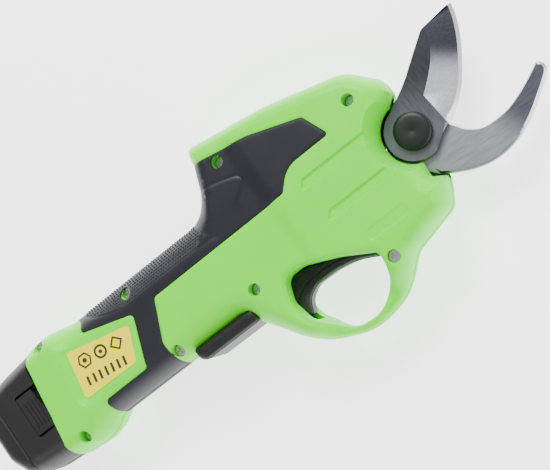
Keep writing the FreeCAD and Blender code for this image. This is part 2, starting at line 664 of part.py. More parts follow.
# ---------------------------------------------------------------------------
# trigger with its pin, spring and magnet; hall sensor board
# ---------------------------------------------------------------------------
TX, TY = size("trigger_x"), size("trigger_y")
TRIGGER = [(TX + 5, TY + 2, 4), (TX + 3.6, TY - 5, 3), (-46, -36.4, 2), (-56, -31.4, 30), (-66, -29.4, 20),
           (-78, -29.2, 10), (-84.5, -33, 8), (-86.8, -39.6, 2), (-92.4, -38.6, 3.5), (-95.6, -30, 6),
           (-91, -17.2, 6), (-80, -16.2, 12), (-66, -20.6, 30)]
HALF_T = size("trigger_half")
PIN_R = size("trigger_pin") / 2


def trigger_prism(grow, half, swing=0.0):
    """Trigger outline made a slab, grown all round and swung about its pin."""
    solid = slab(rounded(TRIGGER), -half, half, -grow)
    solid.rotate(Vector(TX, TY, 0), Vector(0, 0, 1), swing)
    return solid


trigger = soften(trigger_prism(0, HALF_T), 1.6, level(HALF_T))
trigger = trigger.cut(rod(PIN_R + RUN, Vector(TX, TY, -20), 40))
SPRING_HALF = 2.6
trigger = trigger.cut(rod(4.4, Vector(TX, TY, -SPRING_HALF), 2 * SPRING_HALF))
trigger = trigger.cut(box(TX - 0.5, TX + 9, TY - 9, TY + 9, -SPRING_HALF, SPRING_HALF))
MAGNET = Vector(-56.6, -27.6, 0)
trigger = trigger.cut(rod(2.0, MAGNET, 4.2, Vector(0.35, 1, 0)))
shaped("trigger", trigger)
shaped("trigger_magnet", rod(2.0, MAGNET, 2.0, Vector(0.35, 1, 0)))
keep(revolved("trigger_pin",
              [("0", "-16.5"), ("Sizes.trigger_pin / 2", "-16.5"), ("Sizes.trigger_pin / 2", "16.5"), ("0", "16.5")],
              at=Vector(TX, TY, 0)), "trigger_pin")
SPRING_R, SPRING_WIRE, SPRING_PITCH, SPRING_TURNS, STEPS = 3.2, 0.35, 1.0, 3, 8
spots = [polar(SPRING_R, 360 * k / STEPS, SPRING_PITCH * k / STEPS) for k in range(SPRING_TURNS * STEPS + 1)]
coil = Part.BSplineCurve()
coil.interpolate(spots)
ring = Part.Wire(Part.makeCircle(SPRING_WIRE, spots[0], coil.tangent(coil.FirstParameter)[0]))
spring = Part.Wire(coil.toShape()).makePipeShell([ring], True, False)
spring.translate(Vector(TX, TY, -SPRING_TURNS * SPRING_PITCH / 2))
shaped("trigger_spring", spring)
shaped("hall_sensor_board", box(-61, -51.6, -19.3, -18.1, -5, 5).fuse(box(-58.6, -54.6, -20.4, -19.3, -2, 2)))

# ---------------------------------------------------------------------------
# battery pack
# ---------------------------------------------------------------------------
PACK_Y = size("pack_axis")
CELL_R = size("cell_dia") / 2
PACK_HALF = size("cell_dia") + size("pack_wall") + 0.1
P_FRONT, P_REAR = size("pack_front"), size("pack_rear")
SHOULDER = size("collar_rear") - 1.0
SEAM = -237.0
slope = Part.makeBox(200, 200, 200, Vector(0, -100, -100))
slope.Placement = Placement(Vector(SHOULDER, 0, 0), Rotation(Vector(0, 0, 1), 7))


def pack_outer(inset=0.0):
    """Visible rear block of the pack, with a rounded back."""
    half = size("head_half") - 0.6 - inset
    top = size("handle_top") + size("collar_flare") - 1.2 - inset
    low = size("handle_bottom") - size("collar_flare") - 0.3 + inset
    rear = tube_form(P_REAR + 7 + inset, -200, top - 4.6, low + 2.2, half, 12 - inset, top, low, half)
    back = tube_form(P_REAR + inset, P_REAR + 7 + inset, top - 9.5, low + 7.6, half - 6, 9 - inset,
                     top - 4.6, low + 2.2, half)
    return rear.fuse(back).cut(slope)


NECK_GAP = 0.25
neck = soften(box(-230, P_FRONT, PACK_Y - PACK_HALF, PACK_Y + PACK_HALF, -PACK_HALF, PACK_HALF), 4,
              lambda e: e.BoundBox.XLength > 10)
cells, hollow = [], []
CELL_X = P_FRONT - 5.5 - size("cell_long")
for sy in (-1, 1):
    for sz in (-1, 1):
        spot = Vector(CELL_X, PACK_Y + sy * (CELL_R + 0.05), sz * (CELL_R + 0.05))
        can = rod(CELL_R, spot, size("cell_long") - 1, Vector(1, 0, 0))
        tip = rod(2.8, spot + Vector(size("cell_long") - 1, 0, 0), 1.0, Vector(1, 0, 0))
        cells.append(soften(can, 0.8, lambda e: e.BoundBox.XLength < 1e-4).fuse(tip))
inside = box(CELL_X - 1.2, P_FRONT - 1.4, PACK_Y - 2 * CELL_R - 0.15, PACK_Y + 2 * CELL_R + 0.15,
             -2 * CELL_R - 0.15, 2 * CELL_R + 0.15)
inside = soften(inside, 3, lambda e: e.BoundBox.XLength > 10)
shell = pack_outer().fuse(neck).cut(inside)
BLADE_SLOTS = (-8, 0, 8)
for z in BLADE_SLOTS:
    shell = shell.cut(box(P_FRONT - 6, P_FRONT + 1, PACK_Y - 2.6, PACK_Y + 2.6, z - 0.7, z + 0.7))

# press flaps on both sides, cut free by two slots and hinged at their rear end
FLAP_TOP, FLAP_LOW, FLAP_FRONT, FLAP_BACK = 12.2, -8.2, -213.2, -226.0
SLOT = 1.2
FLAP_THICK = 2.2
FACE_Z = size("head_half") - 0.6
flaps = []
for side in (1, -1):
    z_out = side * FACE_Z
    z_in = side * (FACE_Z - FLAP_THICK)
    low, high = sorted((z_out, z_in))
    window = box(FLAP_BACK, FLAP_FRONT + 8, FLAP_LOW - SLOT, FLAP_TOP + SLOT, low - 1.4 if side > 0 else low,
                 high if side > 0 else high + 1.4)
    shell = shell.cut(window.common(pack_outer()))
    tongue = box(FLAP_BACK + 0.3, FLAP_FRONT + 8, FLAP_LOW, FLAP_TOP, low, high).common(pack_outer())
    for k in range(5):
        rib = box(FLAP_BACK + 2 + 2.0 * k, FLAP_BACK + 2.9 + 2.0 * k, FLAP_LOW + 3, FLAP_TOP - 4,
                  *sorted((z_out, z_out + side * 0.35)))
        tongue = tongue.fuse(rib.common(pack_outer(-0.4)))
    flaps.append(tongue.removeSplitter())
shell = shell.removeSplitter()
front_part = shell.cut(box(-300, SEAM, -60, 80, -60, 60))
rear_part = shell.common(box(-300, SEAM, -60, 80, -60, 60))
shaped("battery_case", front_part)
shaped("battery_end_cap", rear_part)
shaped("battery_flap_right", flaps[0])
shaped("battery_flap_left", flaps[1])
shaped("battery_cells", Part.makeCompound(cells))
shaped("pack_board", box(P_FRONT - 5.3, P_FRONT - 4.3, PACK_Y - 16, PACK_Y + 16, -16, 16))

# ---------------------------------------------------------------------------
# electronics in the handle
# ---------------------------------------------------------------------------
TERMINAL_X = P_FRONT + 1.4
terminal = box(TERMINAL_X, TERMINAL_X + 5, PACK_Y - 12, PACK_Y + 12, -14, 14)
blades = []
for z in BLADE_SLOTS:
    blade = box(TERMINAL_X - 5.2, TERMINAL_X + 6.5, PACK_Y - 2.2, PACK_Y + 2.2, z - 0.4, z + 0.4)
    terminal = terminal.cut(blade)
    blades.append(blade)
shaped("terminal_block", terminal)
shaped("contact_blades", Part.makeCompound(blades))
BOARD_Z = -9.0
board = box(-160, -112, PACK_Y - 13, PACK_Y + 13, BOARD_Z, BOARD_Z + 1.6)
shaped("controller_board", board)
chips = [box(-145 + 9 * k, -138 + 9 * k, PACK_Y - 10 + 11 * j, PACK_Y - 3 + 11 * j, BOARD_Z + 1.6,
             BOARD_Z + 3.4) for k in range(3) for j in range(2)]
shaped("power_transistors", Part.makeCompound(chips))
shaped("buffer_capacitor", soften(rod(5, Vector(-159, PACK_Y, BOARD_Z + 7.2), 12, Vector(1, 0, 0)), 0.8,
                                  lambda e: e.BoundBox.XLength < 1e-4))


def lead(points, radius):
    """Round wire along straight runs joined by tangent arcs."""
    spots = [Vector(*p) for p in points]
    edges, last = [], spots[0]
    for i in range(1, len(spots) - 1):
        back, ahead = spots[i - 1] - spots[i], spots[i + 1] - spots[i]
        reach = 0.45 * min(back.Length, ahead.Length)
        start, stop = spots[i] + back.normalize() * reach, spots[i] + ahead.normalize() * reach
        half = back.getAngle(ahead) / 2
        bend = reach * math.tan(half)
        middle = spots[i] + (back + ahead).normalize() * (bend / math.sin(half) - bend)
        edges += [Part.LineSegment(last, start).toShape(), Part.Arc(start, middle, stop).toShape()]
        last = stop
    edges.append(Part.LineSegment(last, spots[-1]).toShape())
    path = Part.Wire(edges)
    ring = Part.Wire(Part.makeCircle(radius, spots[0], spots[1] - spots[0]))
    return path.makePipeShell([ring], True, False)


phase = [lead([(MOTOR_BACK, 4 * k, DRIVE_Z + 1), (MOTOR_BACK - 6, 4 * k, DRIVE_Z + 2),
               (-110, PACK_Y + 6 * k - 1, BOARD_Z + 7), (-116, PACK_Y + 7 * k, BOARD_Z + 7),
               (-116, PACK_Y + 7 * k, BOARD_Z + 1.6)], 0.9) for k in (-1, 0, 1)]
shaped("motor_leads", Part.makeCompound(phase))
supply = [lead([(TERMINAL_X + 6.5, PACK_Y, z), (TERMINAL_X + 9.5, PACK_Y, z),
                (-158, PACK_Y + z * 1.25, BOARD_Z + 9), (-155, PACK_Y + z * 1.35, BOARD_Z + 6),
                (-155, PACK_Y + z * 1.35, BOARD_Z + 1.6)], 0.9)
          for z in (-8, 8)]
shaped("supply_leads", Part.makeCompound(supply))

# ---------------------------------------------------------------------------
# housing halves, soft grips, finger pad, label and screws
# ---------------------------------------------------------------------------
WALL, SKIN = size("wall"), size("skin")
outside = outer_form()
under_skin = outer_form(SKIN)
cavity = handle_form(WALL).fuse(head_form(WALL))
lip = box(-300, size("collar_rear") + 4, -80, 80, -80, 80)
neck_hole = box(-300, P_FRONT + 1, PACK_Y - PACK_HALF - NECK_GAP, PACK_Y + PACK_HALF + NECK_GAP,
                -PACK_HALF - NECK_GAP, PACK_HALF + NECK_GAP)
cavity = cavity.cut(lip).fuse(neck_hole)

GRIP = [(-95.5, 50.2, 1), (-40.5, 37.6, 2), (-32, 22.2, 2), (-52, 22.2, 6), (-64, 12.6, 4), (-139.6, 12.6, 2),
        (-149.5, -9, 3), (-150.5, -40, 0), (-192, -40, 0), (-190, -13.8, 3), (-163.3, -13.6, 2),
        (-153.6, 10.4, 2), (-180.6, 18.4, 2), (-178.6, 24, 3), (-188.5, 30, 0), (-188.5, 45, 0), (-118, 45, 0)]
PAD_X0, PAD_X1, PAD_LOW, PAD_TOP, PAD_HALF = -141.5, -106, -27.5, -19.6, 17
grip_zone = full(GRIP)
grip_skin = outside.cut(under_skin).common(grip_zone)
pad = soften(box(PAD_X0, PAD_X1, PAD_LOW, PAD_TOP, -PAD_HALF, PAD_HALF), 3,
             lambda e: e.BoundBox.ZLength < 1e-4 and abs(abs(e.BoundBox.ZMin) - PAD_HALF) < 1e-4
             or e.BoundBox.ZLength > 10 and e.BoundBox.YMin < PAD_LOW + 1)
pad_cut = pad.cut(handle_form(SKIN))
pad = pad_cut.Solids[0] if len(pad_cut.Solids) == 1 else max(pad_cut.Solids, key=lambda s: s.Volume)

blade_slot = box(-15.2, 20, -31.5, 26, HOOK_LOW - 0.5, BLADE_TOP + 0.7)
mouth = Part.makeCone(15, 19.5, size("head_half") - BLADE_TOP + 1, Vector(0, 0, BLADE_TOP))
mouth = mouth.fuse(mouth.mirror(Vector(0, 0, 0), Vector(0, 0, 1))).fuse(rod(15, Vector(0, 0, -6), 12))
trigger_slot = trigger_prism(0.7, HALF_T + 0.6)
for part_turn in (0.5, 1):
    trigger_slot = trigger_slot.fuse(trigger_prism(0.7, HALF_T + 0.6, -5 * part_turn))
pin_hole = rod(PIN_R, Vector(TX, TY, -16.5), 33)
label_zone = full([(-192.6, 15.4, 2), (-158, 7.4, 2), (-165.4, -8.6, 2), (-196.4, -8.2, 2)])
HEAD_R, POST_R, THREAD_R, SHANK_R = 3.0, 3.9, 1.25, 1.45
RIB = 2.0
CRADLES = ((-50, size("ring_outer") / 2), (-72, M_R), (-86, M_R))


def halves():
    """Right and left housing halves with posts, holes and openings."""
    solid = outside.cut(cavity)
    for x, y, _ in SCREWS.values():
        solid = solid.fuse(rod(POST_R, Vector(x, y, -MID + 0.5), 2 * MID - 1).common(outside))
    for x, radius in CRADLES:
        rib = cavity.common(box(x, x + RIB, -19, 21, -MID, MID))
        solid = solid.fuse(rib.cut(rod(radius + GAP, Vector(x - 1, 0, DRIVE_Z), 10, Vector(1, 0, 0))))
    solid = solid.fuse(rod(5.5, Vector(TX, TY, -size("head_half") + 1), 2 * size("head_half") - 2).common(outside))
    for zone in (grip_skin, pad, blade_slot, mouth, trigger_slot, pin_hole):
        solid = solid.cut(zone)
    solid = solid.cut(label_zone.common(box(-250, 0, -80, 80, size("handle_half") - 0.3, 60)))
    for x, y, seat in SCREWS.values():
        solid = solid.cut(rod(HEAD_R, Vector(x, y, seat), 40))
        solid = solid.cut(rod(SHANK_R, Vector(x, y, 0), 40))
        solid = solid.cut(rod(THREAD_R, Vector(x, y, -12), 13))
    upper = solid.common(box(-FAR, FAR, -FAR, FAR, GAP / 4, FAR))
    lower = solid.common(box(-FAR, FAR, -FAR, FAR, -FAR, 0))
    return [max(half.Solids, key=lambda s: s.Volume) for half in (upper, lower)], (upper, lower)


(right, left), whole = halves()
shaped("housing_right", right)
shaped("housing_left", left)
for side, low, high in (("right", GAP / 4, FAR), ("left", -FAR, 0)):
    half = grip_skin.common(box(-FAR, FAR, -FAR, FAR, low, high))
    for x, y, seat in SCREWS.values():
        half = half.cut(rod(HEAD_R, Vector(x, y, seat), 40)) if side == "right" else half
    shaped(f"grip_{side}", Part.makeCompound([s for s in half.Solids if s.Volume > 60]))
shaped("finger_pad", pad)
shaped("label", label_zone.common(box(-250, 0, -80, 80, size("handle_half") - 0.3, size("handle_half") + 0.1)))

SCREW_TIP = -9.0
screws = []
for x, y, seat in SCREWS.values():
    head = rod(2.7, Vector(x, y, seat), 1.8)
    cross = box(x - 1.7, x + 1.7, y - 0.35, y + 0.35, seat + 0.8, seat + 3)
    cross = cross.fuse(box(x - 0.35, x + 0.35, y - 1.7, y + 1.7, seat + 0.8, seat + 3))
    screws.append(head.fuse(rod(THREAD_R, Vector(x, y, SCREW_TIP), seat - SCREW_TIP)).cut(cross))
shaped("housing_screws", Part.makeCompound(screws))

# ---------------------------------------------------------------------------
# test and write every node
# ---------------------------------------------------------------------------
doc.recompute()
for item in doc.Objects:
    if "Invalid" in item.State or "Error" in item.State:
        raise RuntimeError(f"{item.Label} failed: {item.State}")
for piece in nodes:
    if piece.Shape.isNull() or not piece.Shape.isValid() or piece.Shape.Volume <= 0:
        raise RuntimeError(f"{piece.Label} has no valid shape")
    piece.Shape.exportStep(f"parts/{piece.Label}.step")
print(len(nodes), "nodes written")
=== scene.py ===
"""Looks of a battery electric pruner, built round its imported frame."""
import json
import logging
import math
from dataclasses import dataclass, field
from enum import Enum
from typing import Callable, Sequence

import bmesh
import bpy
import numpy as np
from mathutils import Matrix, Vector
from mathutils.geometry import delaunay_2d_cdt


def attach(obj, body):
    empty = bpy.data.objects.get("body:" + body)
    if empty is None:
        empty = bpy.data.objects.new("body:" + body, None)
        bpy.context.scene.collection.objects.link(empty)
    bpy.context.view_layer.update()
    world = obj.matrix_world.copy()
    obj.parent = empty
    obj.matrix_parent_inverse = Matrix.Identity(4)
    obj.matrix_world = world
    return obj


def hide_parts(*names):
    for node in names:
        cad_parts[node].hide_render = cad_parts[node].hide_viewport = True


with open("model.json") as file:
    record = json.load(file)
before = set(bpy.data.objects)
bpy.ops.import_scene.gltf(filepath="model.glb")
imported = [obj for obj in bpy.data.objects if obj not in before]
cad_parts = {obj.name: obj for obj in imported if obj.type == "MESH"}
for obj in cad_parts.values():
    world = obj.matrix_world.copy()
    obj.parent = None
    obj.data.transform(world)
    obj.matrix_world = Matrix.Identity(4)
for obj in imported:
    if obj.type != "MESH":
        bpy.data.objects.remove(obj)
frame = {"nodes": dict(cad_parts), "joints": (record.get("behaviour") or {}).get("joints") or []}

logging.basicConfig(level=logging.INFO, format="%(message)s")
log = logging.getLogger("pruner")

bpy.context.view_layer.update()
MM = 0.001
Field = Callable[[np.ndarray], np.ndarray]


def joint_place(name: str) -> Vector:
    """Where a joint of the frame sits.

    Args:
        name: The joint's name.

    Returns:
        Its position, in metres.
    """
    return Vector(next(j for j in frame["joints"] if j["name"] == name)["pos_m"])


PIVOT = joint_place("blade_pivot")


class Side(Enum):
    """The two sides of the middle plane."""

    RIGHT = 1
    LEFT = -1

    @property
    def tag(self) -> str:
        """The word that ends the names of this side's pieces."""
        return self.name.lower()


# ---------------------------------------------------------------------------
# finishes
# ---------------------------------------------------------------------------
PATCH_SIZE = 18.0
SHARE, FIRST_COLOUR, SECOND_COLOUR = 0, 6, 7


@dataclass(frozen=True)
class Finish:
    """One surface finish: its colours, gloss and fine texture.

    Attributes:
        name: Material name.
        colour: Main colour, linear red, green and blue.
        shade: Second colour that the first drifts to in soft patches, or the dark end of a painted reflection sweep.
        rough: Lowest and highest roughness.
        metal: 1 for bare metal, 0 for plastic or rubber.
        coat: Strength of a clear gloss layer.
        sheen: Strength of the mirror-like share of light.
        grain: Size of the fine texture, in millimetres.
        bump: Height of the fine texture, in millimetres.
        brushed: Direction of brush marks, or None for an even texture.
        glow: Strength of light scattered inside the plastic.
        sweep: Two places about the pivot between which the colour turns from the first to the second: a painted
            reflection, bright at the first place and dark at the second.
    """

    name: str
    colour: tuple[float, float, float]
    shade: tuple[float, float, float]
    rough: tuple[float, float] = (0.4, 0.5)
    metal: float = 0.0
    coat: float = 0.0
    sheen: float = 0.5
    grain: float = 0.5
    bump: float = 0.01
    brushed: tuple[float, float, float] | None = None
    glow: float = 0.0
    sweep: tuple[tuple[float, float, float], tuple[float, float, float]] | None = None

    def material(self) -> bpy.types.Material:
        """The Blender material, made once and reused."""
        found = bpy.data.materials.get(self.name)
        return found or self._make()

    def _make(self) -> bpy.types.Material:
        """Build the node tree.

        Returns:
            The new material.
        """
        mat = bpy.data.materials.new(self.name)
        mat.use_nodes = True
        mat.diffuse_color = (*self.colour, 1.0)
        tree = mat.node_tree
        add, link = tree.nodes.new, tree.links.new
        shader = tree.nodes["Principled BSDF"]
        shader.inputs["Metallic"].default_value = self.metal
        shader.inputs["Specular IOR Level"].default_value = self.sheen
        shader.inputs["Coat Weight"].default_value = self.coat
        shader.inputs["Coat Roughness"].default_value = 0.12
        if self.glow:
            shader.inputs["Subsurface Weight"].default_value = self.glow
            shader.inputs["Subsurface Radius"].default_value = (0.6, 1.0, 0.3)
            shader.inputs["Subsurface Scale"].default_value = 1.2 * MM
        place = add("ShaderNodeTexCoord")
        stretch = add("ShaderNodeMapping")
        if self.brushed:
            stretch.inputs["Scale"].default_value = self.brushed
        link(place.outputs["Object"], stretch.inputs["Vector"])
        mix = add("ShaderNodeMix")
        mix.data_type = "RGBA"
        mix.inputs[FIRST_COLOUR].default_value = (*self.colour, 1.0)
        mix.inputs[SECOND_COLOUR].default_value = (*self.shade, 1.0)
        fine = self._noise(tree, stretch.outputs["Vector"], self.grain * MM, 4.0)
        # the steel finishes follow a sweep instead of random patches: a painted reflection, bright at one end and
        # dark at the other
        if self.sweep:
            share = self._range(tree, self._swept(tree, place.outputs["Object"]), 0.0, 1.0, 0.0, 1.0)
        else:
            patches = self._noise(tree, place.outputs["Object"], PATCH_SIZE * MM, 2.0)
            share = self._range(tree, patches, 0.35, 0.7, 0.0, 1.0)
        link(share, mix.inputs[SHARE])
        link(mix.outputs[2], shader.inputs["Base Color"])
        link(self._range(tree, fine, 0.3, 0.7, *self.rough), shader.inputs["Roughness"])
        relief = add("ShaderNodeBump")
        relief.inputs["Strength"].default_value = 1.0
        relief.inputs["Distance"].default_value = self.bump * MM
        link(fine, relief.inputs["Height"])
        link(relief.outputs["Normal"], shader.inputs["Normal"])
        return mat

    def _swept(self, tree: bpy.types.NodeTree, vector: bpy.types.NodeSocket) -> bpy.types.NodeSocket:
        """How far a place is along the sweep of painted reflection, from 0 to 1.

        Args:
            tree: The material's nodes.
            vector: The place.

        Returns:
            The share's socket.
        """
        start, stop = (PIVOT + Vector(spot) * MM for spot in self.sweep)
        off = tree.nodes.new("ShaderNodeVectorMath")
        off.operation = "SUBTRACT"
        off.inputs[1].default_value = start
        along = tree.nodes.new("ShaderNodeVectorMath")
        along.operation = "DOT_PRODUCT"
        along.inputs[1].default_value = (stop - start) / (stop - start).length_squared
        tree.links.new(vector, off.inputs[0])
        tree.links.new(off.outputs["Vector"], along.inputs[0])
        return self._range(tree, along.outputs["Value"], 0.0, 1.0, 0.0, 1.0)

    @staticmethod
    def _noise(tree: bpy.types.NodeTree, vector: bpy.types.NodeSocket, size: float,
               detail: float) -> bpy.types.NodeSocket:
        """A noise texture's factor.

        Args:
            tree: The material's nodes.
            vector: Where the noise is read.
            size: Size of one blotch, in metres.
            detail: Octaves of detail.

        Returns:
            The noise factor's socket.
        """
        node = tree.nodes.new("ShaderNodeTexNoise")
        node.inputs["Scale"].default_value = 1.0 / size
        node.inputs["Detail"].default_value = detail
        tree.links.new(vector, node.inputs["Vector"])
        return node.outputs["Fac"]

    @staticmethod
    def _range(tree: bpy.types.NodeTree, value: bpy.types.NodeSocket, low: float, high: float,
               to_low: float, to_high: float) -> bpy.types.NodeSocket:
        """A value moved from one range to another.

        Args:
            tree: The material's nodes.
            value: The value to move.
            low: Start of its range.
            high: End of its range.
            to_low: Start of the new range.
            to_high: End of the new range.

        Returns:
            The result's socket.
        """
        node = tree.nodes.new("ShaderNodeMapRange")
        node.interpolation_type = "SMOOTHSTEP"
        for key, number in zip(("From Min", "From Max", "To Min", "To Max"), (low, high, to_low, to_high)):
            node.inputs[key].default_value = number
        tree.links.new(value, node.inputs["Value"])
        return node.outputs["Result"]


GREEN = Finish("lime_plastic", (0.130, 0.90, 0.0015), (0.118, 0.87, 0.001), (0.34, 0.42), sheen=0.25,
               grain=0.35, bump=0.004)
INLAY = Finish("dark_soft_inlay", (0.0075, 0.008, 0.013), (0.010, 0.0105, 0.016), (0.42, 0.52), sheen=0.35,
               grain=0.3, bump=0.008)
GRIP = Finish("textured_grip", (0.018, 0.0185, 0.022), (0.026, 0.0265, 0.030), (0.5, 0.65), grain=0.4, bump=0.02)
BLACK = Finish("black_moulding", (0.0055, 0.0055, 0.0062), (0.008, 0.008, 0.009), (0.38, 0.5), sheen=0.35,
               grain=0.4, bump=0.008)
PACK = Finish("charcoal_moulding", (0.0068, 0.0068, 0.0076), (0.010, 0.010, 0.011), (0.42, 0.55), sheen=0.4,
              grain=0.45, bump=0.012)
# painted reflection: the blade blank is painted lighter near the hub and darker towards the spine's tip
STEEL = Finish("satin_blade_steel", (0.16, 0.17, 0.18), (0.05, 0.05, 0.056), (0.28, 0.4), 1.0, grain=0.5,
               bump=0.0006, brushed=(1.0, 0.06, 1.0), sweep=((-6.0, -10.0, 3.0), (22.0, 30.0, 3.0)))
# painted reflection: the ground bevel is painted near-white at the heel, turning dark towards the tip
GROUND = Finish("ground_steel", (0.86, 0.88, 0.93), (0.075, 0.078, 0.10), (0.24, 0.34), 1.0, grain=0.35,
                bump=0.0006, brushed=(0.08, 1.0, 1.0), sweep=((24.0, 9.0, 3.0), (37.0, 25.0, 3.0)))
# painted reflection: the hook is painted lighter along its middle and darker towards its tip
STEEL_HOOK = Finish("hook_steel", (0.33, 0.36, 0.37), (0.10, 0.105, 0.13), (0.3, 0.42), 1.0, grain=0.5,
                    bump=0.0006, brushed=(0.08, 1.0, 1.0), sweep=((24.0, -26.0, -1.3), (48.0, -18.0, -1.3)))
# painted highlight: near-white metal on the narrow bevel along the cutting edge and on the hook's rims, where light
# catches the edges
EDGE_HIGHLIGHT = Finish("painted_edge_highlight", (0.86, 0.85, 0.90), (0.93, 0.93, 0.95), (0.3, 0.4), 1.0, grain=0.3, bump=0.0004)
ZINC = Finish("zinc_screw", (0.62, 0.62, 0.60), (0.5, 0.5, 0.5), (0.2, 0.35), 1.0, grain=0.4, bump=0.004)
CASE = Finish("cast_aluminium", (0.42, 0.42, 0.43), (0.35, 0.35, 0.36), (0.4, 0.6), 1.0, grain=0.5, bump=0.03)
GEAR = Finish("cut_gear_steel", (0.35, 0.34, 0.33), (0.28, 0.27, 0.26), (0.25, 0.4), 1.0, grain=0.3, bump=0.004)
BRONZE = Finish("sintered_bronze", (0.42, 0.25, 0.10), (0.35, 0.2, 0.08), (0.35, 0.5), 1.0, grain=0.25, bump=0.01)
COPPER = Finish("copper_winding", (0.5, 0.2, 0.08), (0.4, 0.15, 0.06), (0.3, 0.45), 1.0, grain=0.3, bump=0.02)
BOARD = Finish("circuit_board", (0.01, 0.09, 0.035), (0.015, 0.12, 0.05), (0.3, 0.4), coat=0.3, grain=1.0,
               bump=0.005)
RED = Finish("red_lead", (0.4, 0.01, 0.01), (0.35, 0.01, 0.01), (0.35, 0.45))
SLEEVE = Finish("cell_sleeve", (0.03, 0.12, 0.3), (0.03, 0.1, 0.26), (0.25, 0.35), coat=0.3)
YELLOW = Finish("yellow_film", (1.0, 0.84, 0.0), (0.99, 0.82, 0.0), (0.5, 0.6), sheen=0.05, grain=0.4, bump=0.002)
INK = Finish("black_ink", (0.03, 0.025, 0.01), (0.04, 0.032, 0.012), (0.35, 0.45))


# ---------------------------------------------------------------------------
# outlines and height fields, in millimetres about the pivot
# ---------------------------------------------------------------------------
SHARP_CORNER = 0.01
ARC_STEPS = 1.3
DRAFT = 0.2
OFFSETS = (DRAFT, 0.6, 1.2, 2.2, 3.4, 5.0, 7.0)


@dataclass(frozen=True)
class Outline:
    """A closed outline with rounded corners.

    Attributes:
        corners: x, y and rounding radius of each corner.
        step: Longest distance between points along it.
    """

    corners: tuple[tuple[float, float, float], ...]
    step: float = 1.0

    def points(self) -> np.ndarray:
        """Points along the outline.

        Returns:
            An array of x and y.
        """
        spots, count = [], len(self.corners)
        for i, (x, y, radius) in enumerate(self.corners):
            if radius < SHARP_CORNER:
                spots.append((x, y))
                continue
            here = Vector((x, y))
            back = (Vector(self.corners[i - 1][:2]) - here).normalized()
            ahead = (Vector(self.corners[(i + 1) % count][:2]) - here).normalized()
            half = back.angle(ahead) / 2
            reach = radius / math.tan(half)
            centre = here + (back + ahead).normalized() * (radius / math.sin(half))
            start, stop = here + back * reach - centre, here + ahead * reach - centre
            turn = start.angle_signed(stop)
            pieces = max(1, round(abs(turn) * radius / self.step * ARC_STEPS))
            for k in range(pieces + 1):
                a = -turn * k / pieces
                spots.append((centre.x + start.x * math.cos(a) - start.y * math.sin(a),
                              centre.y + start.x * math.sin(a) + start.y * math.cos(a)))
        return resample(np.array(spots), self.step)


def resample(loop: np.ndarray, step: float) -> np.ndarray:
    """Add points on the long sides of a loop.

    Args:
        loop: Points of a closed loop.
        step: Longest side that is left.

    Returns:
        The loop with more points.
    """
    result = []
    for a, b in zip(loop, np.roll(loop, -1, axis=0)):
        span = math.dist(a, b)
        if span < 1e-4:
            continue
        pieces = max(1, math.ceil(span / step))
        result += [a + (b - a) * k / pieces for k in range(pieces)]
    return np.array(result)


def smooth_line(knots: Sequence[tuple[float, float]], step: float = 0.8) -> np.ndarray:
    """A smooth open curve through knots, as points.

    Args:
        knots: The points that it passes.
        step: Distance between points.

    Returns:
        Points along a Catmull-Rom curve.
    """
    p = np.array([knots[0], *knots, knots[-1]], float)
    p[0], p[-1] = 2 * p[1] - p[2], 2 * p[-2] - p[-3]
    result = []
    for i in range(1, len(p) - 2):
        pieces = max(1, math.ceil(math.dist(p[i], p[i + 1]) / step))
        for k in range(pieces):
            u = k / pieces
            result.append(0.5 * (2 * p[i] + (p[i + 1] - p[i - 1]) * u
                                 + (2 * p[i - 1] - 5 * p[i] + 4 * p[i + 1] - p[i + 2]) * u ** 2
                                 + (3 * p[i] - p[i - 1] - 3 * p[i + 1] + p[i + 2]) * u ** 3))
    return np.array([*result, p[-2]])


def away(spots: np.ndarray, line: np.ndarray, closed: bool = True) -> np.ndarray:
    """Distance of points from a line.

    Args:
        spots: Points.
        line: Points of the line.
        closed: Whether its end joins its start.

    Returns:
        One distance each.
    """
    a = line if closed else line[:-1]
    b = np.roll(line, -1, axis=0) if closed else line[1:]
    along = b - a
    size = np.maximum((along ** 2).sum(1), 1e-12)
    result = np.empty(len(spots))
    for i in range(0, len(spots), 2000):
        rel = spots[i:i + 2000, None] - a[None]
        u = np.clip((rel * along).sum(2) / size, 0, 1)
        result[i:i + 2000] = np.sqrt(((rel - u[..., None] * along) ** 2).sum(2).min(1))
    return result


def within(spots: np.ndarray, loop: np.ndarray) -> np.ndarray:
    """Whether points lie inside a closed loop.

    Args:
        spots: Points.
        loop: Points of the loop.

    Returns:
        One truth value each.
    """
    odd = np.zeros(len(spots), bool)
    x, y = spots[:, 0], spots[:, 1]
    for (x0, y0), (x1, y1) in zip(loop, np.roll(loop, -1, axis=0)):
        crosses = (y0 > y) != (y1 > y)
        at = x0 + (y - y0) * (x1 - x0) / (y1 - y0 if y1 != y0 else 1e-9)
        odd ^= crosses & (x < at)
    return odd


def depth_in(spots: np.ndarray, loop: np.ndarray) -> np.ndarray:
    """Distance inside a loop, negative outside it."""
    return np.where(within(spots, loop), 1, -1) * away(spots, loop)


def ease(value: np.ndarray) -> np.ndarray:
    """Smooth step from 0 to 1."""
    u = np.clip(value, 0, 1)
    return u * u * (3 - 2 * u)


def rim(depth: np.ndarray, top: np.ndarray | float, radius: np.ndarray | float,
        tall: np.ndarray | None = None) -> np.ndarray:
    """Height of a moulded edge: an upright wall, then a quarter of an ellipse, then the flat top.

    Args:
        depth: Distance in from the edge.
        top: Height of the flat.
        radius: Width of the rounding.
        tall: Height of the rounding, or None for the same as its width.

    Returns:
        Heights.
    """
    tall = radius if tall is None else tall
    inset = np.clip(depth - DRAFT, 0, radius) / radius
    return top - tall + tall * np.sqrt(np.maximum(1 - (1 - inset) ** 2, 0))


